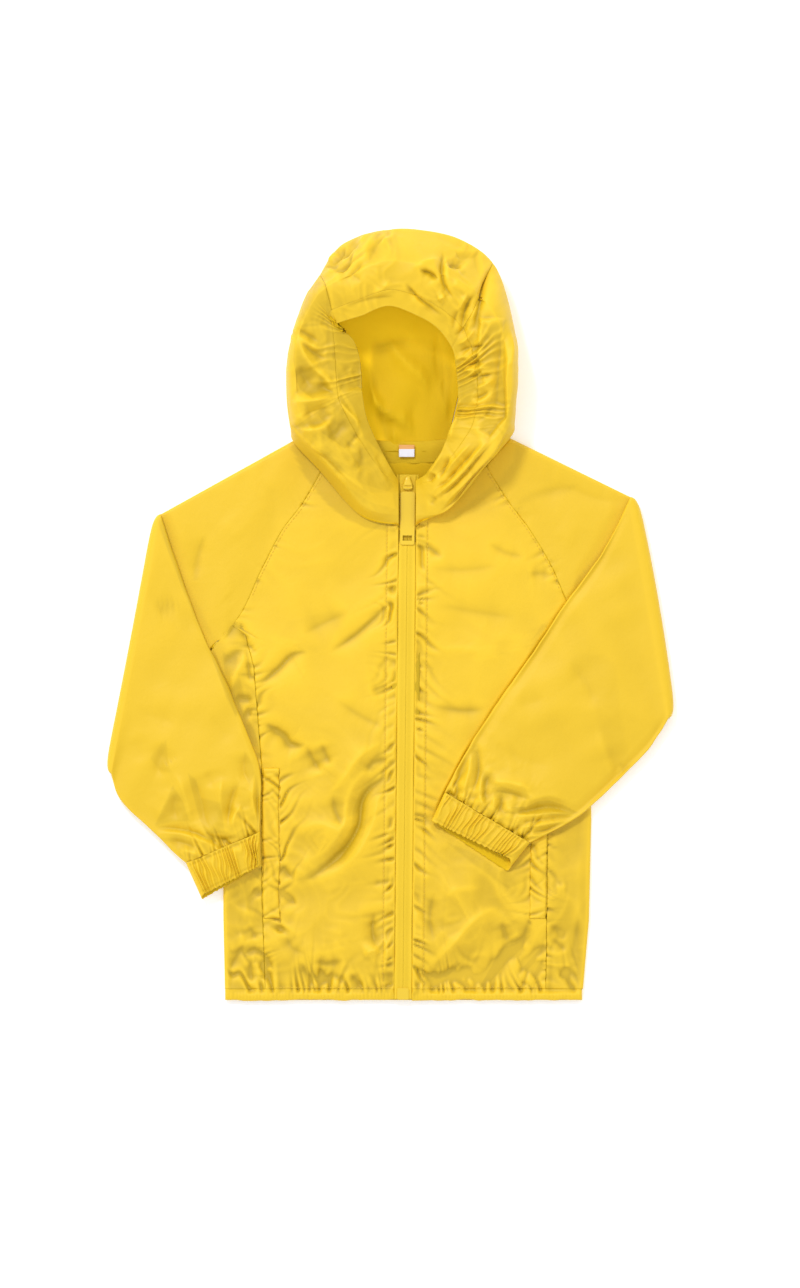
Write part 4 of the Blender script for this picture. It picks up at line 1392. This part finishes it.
def hood_seams(first_row, last_row, first=None, last=None):
    """The seam points of these rows, with another point for the first or the last of them."""
    seams = HOOD_ROWS[first_row : last_row + 1, 4].copy()
    if first is not None:
        seams[0] = first
    if last is not None:
        seams[-1] = last
    return seams


def hood_creased(grid, rows, shares):
    """The hood's face moved out along its normals by its folds, slopes, unevenness, seams and gathers; then
    1 on its floor, and how high the folds lift that."""
    x, y = grid[..., 0].copy(), grid[..., 1].copy()
    share = np.broadcast_to(shares[None], x.shape)
    normal = normals_of(grid)
    front = np.broadcast_to(smooth(np.minimum(rows, LAST_ROW - rows) / 1.4)[:, None], x.shape)
    outer = smooth((0.56 - share) / 0.12) * (0.25 + 0.75 * front)
    crown = 1.6 + 1.1 * smooth((y - 596) / 14)
    height = crown * fold_height(x, y, HOOD_FOLDS, 0.8) + slope_height(x, y, HOOD_SLOPES)
    height = height + waves(x, y, 0.8, 60, 171) + crumple(x, y, 1.0, 30, 173) + crumple(x, y, 0.7, 13, 174)
    for seam_row in (CENTRE_FROM, CENTRE_TO):
        off = (np.broadcast_to(rows[:, None], x.shape) - seam_row) * ROW_WIDTH
        height = height - 0.4 * np.exp(-((off / 1.6) ** 2))
    casing_off = (share - CASING_END) * ROW_LENGTH
    height = height - 0.1 * np.exp(-((casing_off / 1.6) ** 2))
    right_side = smooth((rows - 3) / 2) * smooth((9 - rows) / 1.5)
    left_side = smooth((rows - 14) / 1) * smooth((20.5 - rows) / 1.5)
    gathered = np.broadcast_to((right_side + left_side)[:, None], x.shape)
    run = np.broadcast_to(rows[:, None], x.shape) * EDGE_WIDTH
    pleat_at = run / 5.2 + 0.7 * wander(run, 27, 175) + 0.25 * wander(share * 200 + run, 31, 177)
    pleat = 1 - np.sqrt(np.sin(math.pi * pleat_at) ** 2 + 0.02)
    size = 0.5 + 0.5 * wander(run, 17, 179)
    near_casing = smooth((np.where(x < 0, 0.25, 0.29) - share) / 0.17) * smooth((share + 0.02) / 0.04)
    height = height + gathered * np.where(x < 0, 2.2, 3.8) * pleat * size * near_casing
    floor = smooth((share[:1] - FLOOR_SHARE) / 0.03)
    inside_height = 2.3 * fold_height(x, y, INSIDE_FOLDS)
    inside_height = inside_height + waves(x, y, 0.8, 50, 181) + crumple(x, y, 0.7, 26, 183) + 1.6
    moved = grid + normal * (height * outer)[..., None]
    return moved, floor, inside_height


def hood_panel(name, rows, shares, seams, seams_from, material=NYLON, thick=HOOD_CLOTH):
    """One panel of the hood. Its floor lies on its own thickness and is lifted by the folds inside; under
    the crown it is paler, and light comes through where INSIDE_LIGHT says."""
    shares = shares[::-1]
    plain = hood_form(rows, shares, seams, seams_from)
    outer, floor, lift = hood_creased(plain, rows, shares)
    inner = hidden_side(outer, thick)
    lying = (plain[..., 2] + thick + np.maximum(lift, 0.2) * floor)[::2, ::2]
    inner[..., 2] = np.maximum(np.where(floor[:, ::2] > 0, lying, inner[..., 2]), 0.3)
    outer[..., 2] = np.maximum(outer[..., 2], 0)
    x, y = plain[..., 0], plain[..., 1]
    on_face = smooth((FLOOR_SHARE - 0.01 - shares[None]) / 0.06)
    back_inside = smooth((shares[None] - FLOOR_SHARE) / 0.05) * smooth((y - 510) / 60)
    shade = on_face * shading(x, y, HOOD_SHADES) - 0.2 * hollows(outer) - 0.5 * back_inside
    lit = smooth((shares[None] - FLOOR_SHARE + 0.2) / 0.2) * shading(x, y, INSIDE_LIGHT)
    return wall(name, outer, thick, material, inner=inner, shade=shade, through=lit)


def panel_shares(floor_columns):
    """Shares along a panel's rows: close together from the casing over the crest, wider apart beyond the
    rim."""
    near = np.linspace(CASING_END + 0.0001, 0.6, 125)
    return np.concatenate([near, np.linspace(0.6, 1, floor_columns)[1:]])


def hood_side(side):
    """A side panel, from the casing over the side to the seam with the back."""
    right = side == "right"
    first, last = (0, CENTRE_FROM) if right else (CENTRE_TO, LAST_ROW)
    seams = hood_seams(first, last, None if right else SIDE_FOOT[side], SIDE_FOOT[side] if right else None)
    rows = np.linspace(first + (0 if right else ROW_GAP), last - (ROW_GAP if right else 0), 213)
    return hood_panel(f"hood_side_{side}_cloth", rows, panel_shares(51), seams, first)


def hood_centre():
    """The centre panel, from the casing over the crown to the back neck."""
    rows = np.linspace(CENTRE_FROM + ROW_GAP, CENTRE_TO - ROW_GAP, 161)
    seams = hood_seams(CENTRE_FROM, CENTRE_TO)
    return hood_panel("hood_centre_cloth", rows, panel_shares(107), seams, CENTRE_FROM)


def hood_casing():
    """The elastic tunnel round the face opening, thicker than the panels."""
    rows = np.linspace(0, LAST_ROW, 851)
    shares = np.linspace(0, CASING_END, 25)
    return hood_panel("hood_casing_cloth", rows, shares, hood_seams(0, LAST_ROW), 0, ELASTIC, 1.2)


# ---- Neck, zip and fastenings ----
def back_neck_y(x):
    """y of the back neck's seam: 476 in the middle, rising by 6 mm at 60 mm from it."""
    return 476 + 6 * (x / 60) ** 2


def neck_tape():
    """The tape over the back neck's seam, inside: a low curve across it, and a slow wave along it."""
    x, off = np.meshgrid(np.linspace(-54, 54, 109), np.linspace(-10, 10, 15))
    z = 0.45 + 1.6 * smooth((off + 10) / 16) + 0.3 * wander(x, 24, 191) + 0.6 * (1 - (off / 10) ** 4)
    return wall("neck_tape_cloth", np.dstack([x, back_neck_y(x) + off, z]), 0.35, NECK_TAPE)


def size_label():
    """The small bare label: a bowed rectangle, white, with an orange band over its top third."""
    x, y = np.meshgrid(np.linspace(-4.8, 8.7, 23), np.linspace(472.4, 482.8, 27))
    z = 4.0 + 0.25 * np.sin((x + 4.8) / 13.5 * math.pi) + 0.1 * (y - 472)
    label = wall("size_label_cloth", np.dstack([x, y, z]), 0.35, LABEL)
    label.data.materials.clear()
    label.data.materials.append(LABEL)
    label.data.materials.append(LABEL_TOP)
    centre = np.empty(3 * len(label.data.polygons))
    label.data.polygons.foreach_get("center", centre)
    band = (centre.reshape(-1, 3)[:, 1] > (479.2 - ORIGIN[1]) * 0.001).astype(np.int32)
    label.data.polygons.foreach_set("material_index", band)
    return label


def zip_height(y):
    """Level of the tapes: a little over the fronts, lower again under the pull."""
    return BODY_HEIGHT + 0.3 + (1.0 + 0.3 * wander(y, 90, 193)) * smooth(y / 60) * smooth((400 - y) / 40)


def zip_surface(name, profile, y0, y1, material, rows=261, thick=0.6):
    """A strip along the zip whose cross-section is profile: offsets across it, and heights over the
    fronts."""
    profile = np.array(profile, float)
    y = np.linspace(y0, y1, rows)[:, None]
    beyond = np.maximum(np.abs(profile[None, :, 0]) - 7.2, 0) * smooth((y - 403) / 10)
    x = zip_x(y) + profile[None, :, 0] - 0.65 * beyond * np.sign(profile[None, :, 0])
    flange = smooth((y - 400) / 10) * np.clip(-profile[None, :, 1], 0, 2) + 0.8 * beyond
    at_neck = smooth((y - 397) / 1.5) * smooth((410 - y) / 1.5)
    flange = flange - at_neck * np.clip(profile[None, :, 1] + 0.5, 0, 2)
    z = zip_height(y) + profile[None, :, 1] + flange
    return wall(name, np.dstack([x, y + 0 * x, z]), thick, material)


def zip_tape(side):
    """One tape: offsets from the middle of the zip, and its heights there over the fronts."""
    s = SIGN[side]
    across = np.array([0.02, 0.6, 1.2, 1.8, 2.4, 3.0, 3.8, 4.6, 5.4, 6.1, 6.7, 7.2, 7.9, 9.5, 12])
    high = np.array([0.78, 0.82, 0.82, 0.76, 0.68, 0.62, 0.58, 0.6, 0.66, 0.7, 0.64, 0.42, -0.4, -1.5, -1.7])
    profile = np.stack([s * across, high], -1)
    return zip_surface(f"zip_tape_{side}_cloth", profile if s > 0 else profile[::-1], 0.6, ZIP_TOP_Y, TAPE)


BOX_FACES = np.array([[0, 3, 2, 1], [4, 5, 6, 7], [0, 1, 5, 4], [1, 2, 6, 5], [2, 3, 7, 6], [3, 0, 4, 7]])
COIL_PITCH = 1.35
# The corners of one turn of the coil, wider below than above.
COIL_TURN = np.array(
    [
        [-2, -0.42, -0.9],
        [2, -0.42, -0.9],
        [2, 0.42, -0.9],
        [-2, 0.42, -0.9],
        [-1.5, -0.3, 0.1],
        [1.5, -0.3, 0.1],
        [1.5, 0.3, 0.1],
        [-1.5, 0.3, 0.1],
    ]
)


def zip_coil():
    """The closed teeth under the tapes' edges: a row of small bars, one for each turn of the coil."""
    y = np.arange(12, 396, COIL_PITCH)
    centre = np.stack([zip_x(y), y, zip_height(y)], -1)
    points = (centre[:, None] + COIL_TURN).reshape(-1, 3)
    faces = (BOX_FACES[None] + 8 * np.arange(len(y))[:, None, None]).reshape(-1, 4)
    return make_object("zip_coil_teeth", points, [faces], COIL)


def squared(v):
    """A circle's sine or cosine drawn out towards a square's: |v|^0.6 with the sign of v."""
    return np.sign(v) * np.abs(v) ** 0.6


def slider_body():
    """The slider: a tube along the zip, narrow above and widening towards the teeth, its cross-section a
    superellipse, with a slot sunk across its top and its ends drawn together."""
    foot, length = 443.6, 12.2
    y, angle = np.linspace(foot, 455.8, 46)[:, None], np.linspace(0, 2 * math.pi, 65)[None, :-1]
    t = (y - foot) / length
    half = np.interp(t, [0, 0.12, 0.45, 0.62, 0.85, 1], [3.6, 4.4, 3.9, 2.9, 2.2, 1.4])
    thick = np.interp(t, [0, 0.15, 0.4, 0.75, 1], [0.9, 1.7, 2.2, 1.9, 0.8])
    ends = np.sqrt(np.clip(1 - (2 * t - 1) ** 12, 0.0004, 1))
    x = zip_x(y) + half * ends * squared(np.cos(angle))
    top = np.clip(np.sin(angle), 0, 1)
    slot = 1.3 * np.exp(-(((t - 0.24) / 0.07) ** 4)) * np.exp(-((np.cos(angle) / 0.72) ** 6)) * top
    z = 8.6 + thick * ends * squared(np.sin(angle)) - slot
    outer = np.dstack([x, y + 0 * x, z])
    rows, cols = outer.shape[:2]
    index = np.arange(rows * cols).reshape(rows, cols)
    index = np.hstack([index, index[:, :1]])
    faces = np.stack([index[:-1, :-1], index[1:, :-1], index[1:, 1:], index[:-1, 1:]], -1).reshape(-1, 4)
    half_ring = np.arange(cols // 2 - 1)
    cap = np.stack([half_ring, half_ring + 1, cols - 2 - half_ring, cols - 1 - half_ring], -1)
    last = (rows - 1) * cols
    faces = np.concatenate([faces, cap, cap[:, ::-1] + last])
    return make_object("zip_slider_body", outer.reshape(-1, 3), [faces], ENAMEL)


def stitches(name, path, length=2.3, gap=1.1, width=0.32, lift=0.18):
    """A line of stitches: each is a short rounded bar lying on the cloth along the path."""
    path = np.asarray(path, float)
    step = np.hypot(*np.diff(path, axis=0).T)
    run = np.concatenate([[0], np.cumsum(step)])
    at = np.arange(gap, run[-1] - length, length + gap)
    begin, end = (np.stack([np.interp(at + k, run, path[:, i]) for i in (0, 1)], -1) for k in (0, length))
    centre = (begin + end) / 2
    z = body_top(centre[:, 0], centre[:, 1]) + lift
    u = (end - begin) / length
    n = np.stack([-u[:, 1], u[:, 0]], -1)
    t = np.array([-0.5, -0.36, 0.36, 0.5]) * length
    grow = np.array([0.35, 1, 1, 0.35])
    angle = np.linspace(0, 2 * math.pi, 7)[:-1]
    ring_n, ring_z = np.cos(angle) * width, np.sin(angle) * width
    along = u[:, None, None] * t[None, :, None, None]
    aside = n[:, None, None] * (grow[:, None] * ring_n[None])[None, ..., None]
    plan = centre[:, None, None] + along + aside
    zz = z[:, None, None] + (grow[:, None] * ring_z[None])[None] + 0 * plan[..., 0]
    points = np.concatenate([plan, zz[..., None]], -1).reshape(-1, 3)
    quads = []
    for r in range(3):
        for k in range(6):
            quads.append([r * 6 + k, r * 6 + (k + 1) % 6, (r + 1) * 6 + (k + 1) % 6, (r + 1) * 6 + k])
    caps = [[0, 3, 2, 1], [0, 5, 4, 3], [18, 19, 20, 21], [18, 21, 22, 23]]
    shape = np.array(quads + caps)
    faces = (shape[None] + 24 * np.arange(len(at))[:, None, None]).reshape(-1, 4)
    return make_object(name, points, [faces], THREAD)


# ---- Making ----
def finish_piece(obj, nodes=()):
    """Says which body the piece moves with, which nodes it replaces."""
    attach(obj, "garment")
    if nodes:
        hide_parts(*nodes)
    return obj


camera_data = bpy.data.cameras.new("Camera")
camera = bpy.data.objects.new("Camera", camera_data)
bpy.context.scene.collection.objects.link(camera)
LENS, SENSOR = 250, 36
camera_data.lens = LENS
camera_data.sensor_width = SENSOR
camera_data.clip_end = 100
VIEW_HEIGHT = 1.1206  # metres that the view's longer side shows
camera.location = (0.0079, -0.0255, VIEW_HEIGHT * LENS / SENSOR)
bpy.context.scene.camera = camera

back = finish_piece(back_panel(), ["back"])
hem = finish_piece(hem_band(), ["hem_band"])
for side in ("right", "left"):
    finish_piece(front_panel(side), [f"front_{side}"])
    finish_piece(pocket_welt(side), [f"pocket_welt_{side}"])
    finish_piece(sleeve(side), [f"sleeve_{side}"])
    finish_piece(cuff(side), [f"cuff_{side}"])
    finish_piece(hood_side(side), [f"hood_side_{side}"])
    finish_piece(zip_tape(side), [f"zip_tape_{side}"])
finish_piece(hood_centre(), ["hood_centre"])
finish_piece(hood_casing(), ["hood_casing"])
finish_piece(neck_tape(), ["neck_tape"])
finish_piece(size_label(), ["size_label"])
finish_piece(zip_coil(), ["zip_coil"])
finish_piece(slider_body(), ["zip_slider"])
above_hem = HEM_DEPTH + 1.4
for side, s in SIGN.items():
    raglan = curved(RAGLAN[side], np.linspace(FRONT_NECK_T + 0.02, 0.72, 30)) + [-s * 1.6, -1.0]
    lines = {
        f"stitches_facing_{side}": ZIP_LINE[s],
        f"stitches_raglan_{side}": raglan,
        f"stitches_hem_{side}": [[zip_x(9) + s * 9, above_hem], [seam_x(12.0, side) - s, above_hem]],
    }
    for name, path in lines.items():
        finish_piece(stitches(name, path))
# These two keep their own meshes, with a better material.
for name in ("zip_pull", "zip_box"):
    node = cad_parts[name]
    node.data.materials.clear()
    node.data.materials.append(ENAMEL)

# ---- Floor and light ----
def plain(name, colour, roughness, glow):
    """An even material that gives off a little white light of its own."""
    material = bpy.data.materials.new(name)
    material.use_nodes = True
    shader = material.node_tree.nodes["Principled BSDF"]
    shader.inputs["Base Color"].default_value = (*colour, 1)
    shader.inputs["Roughness"].default_value = roughness
    shader.inputs["Specular IOR Level"].default_value = 0.1
    shader.inputs["Emission Color"].default_value = (1, 1, 1, 1)
    shader.inputs["Emission Strength"].default_value = glow
    return material


floor_mesh = bpy.data.meshes.new("Floor")
FAR, BELOW = 20, -0.0004  # metres from the middle to the floor's edges, and its level
corners = [(x, y, BELOW) for x, y in ((-FAR, -FAR), (FAR, -FAR), (FAR, FAR), (-FAR, FAR))]
floor_mesh.from_pydata(corners, [], [(0, 1, 2, 3)])
floor_mesh.materials.append(plain("Pale_floor", (0.93, 0.93, 0.93), 0.9, glow=0.22))
floor = bpy.data.objects.new("Floor", floor_mesh)
bpy.context.scene.collection.objects.link(floor)


def softbox(name, place, target, size, power):
    """A square lamp at a place, turned to face its target: size in metres, power in watts."""
    light = bpy.data.lights.new(name, "AREA")
    light.shape, light.size, light.energy = "SQUARE", size, power
    obj = bpy.data.objects.new(name, light)
    bpy.context.scene.collection.objects.link(obj)
    obj.location = place
    direction = np.array(target) - np.array(place)
    obj.rotation_euler = Vector(direction).to_track_quat("-Z", "Y").to_euler()
    return obj


softbox("Key", (-1.1, 2.0, 2.7), (0, 0, 0), 0.5, 60)
world = bpy.data.worlds.new("Studio")
world.use_nodes = True
world.node_tree.nodes["Background"].inputs["Color"].default_value = (1, 1, 1, 1)
world.node_tree.nodes["Background"].inputs["Strength"].default_value = 0.97
bpy.context.scene.world = world
bpy.context.scene.view_settings.view_transform = "Standard"
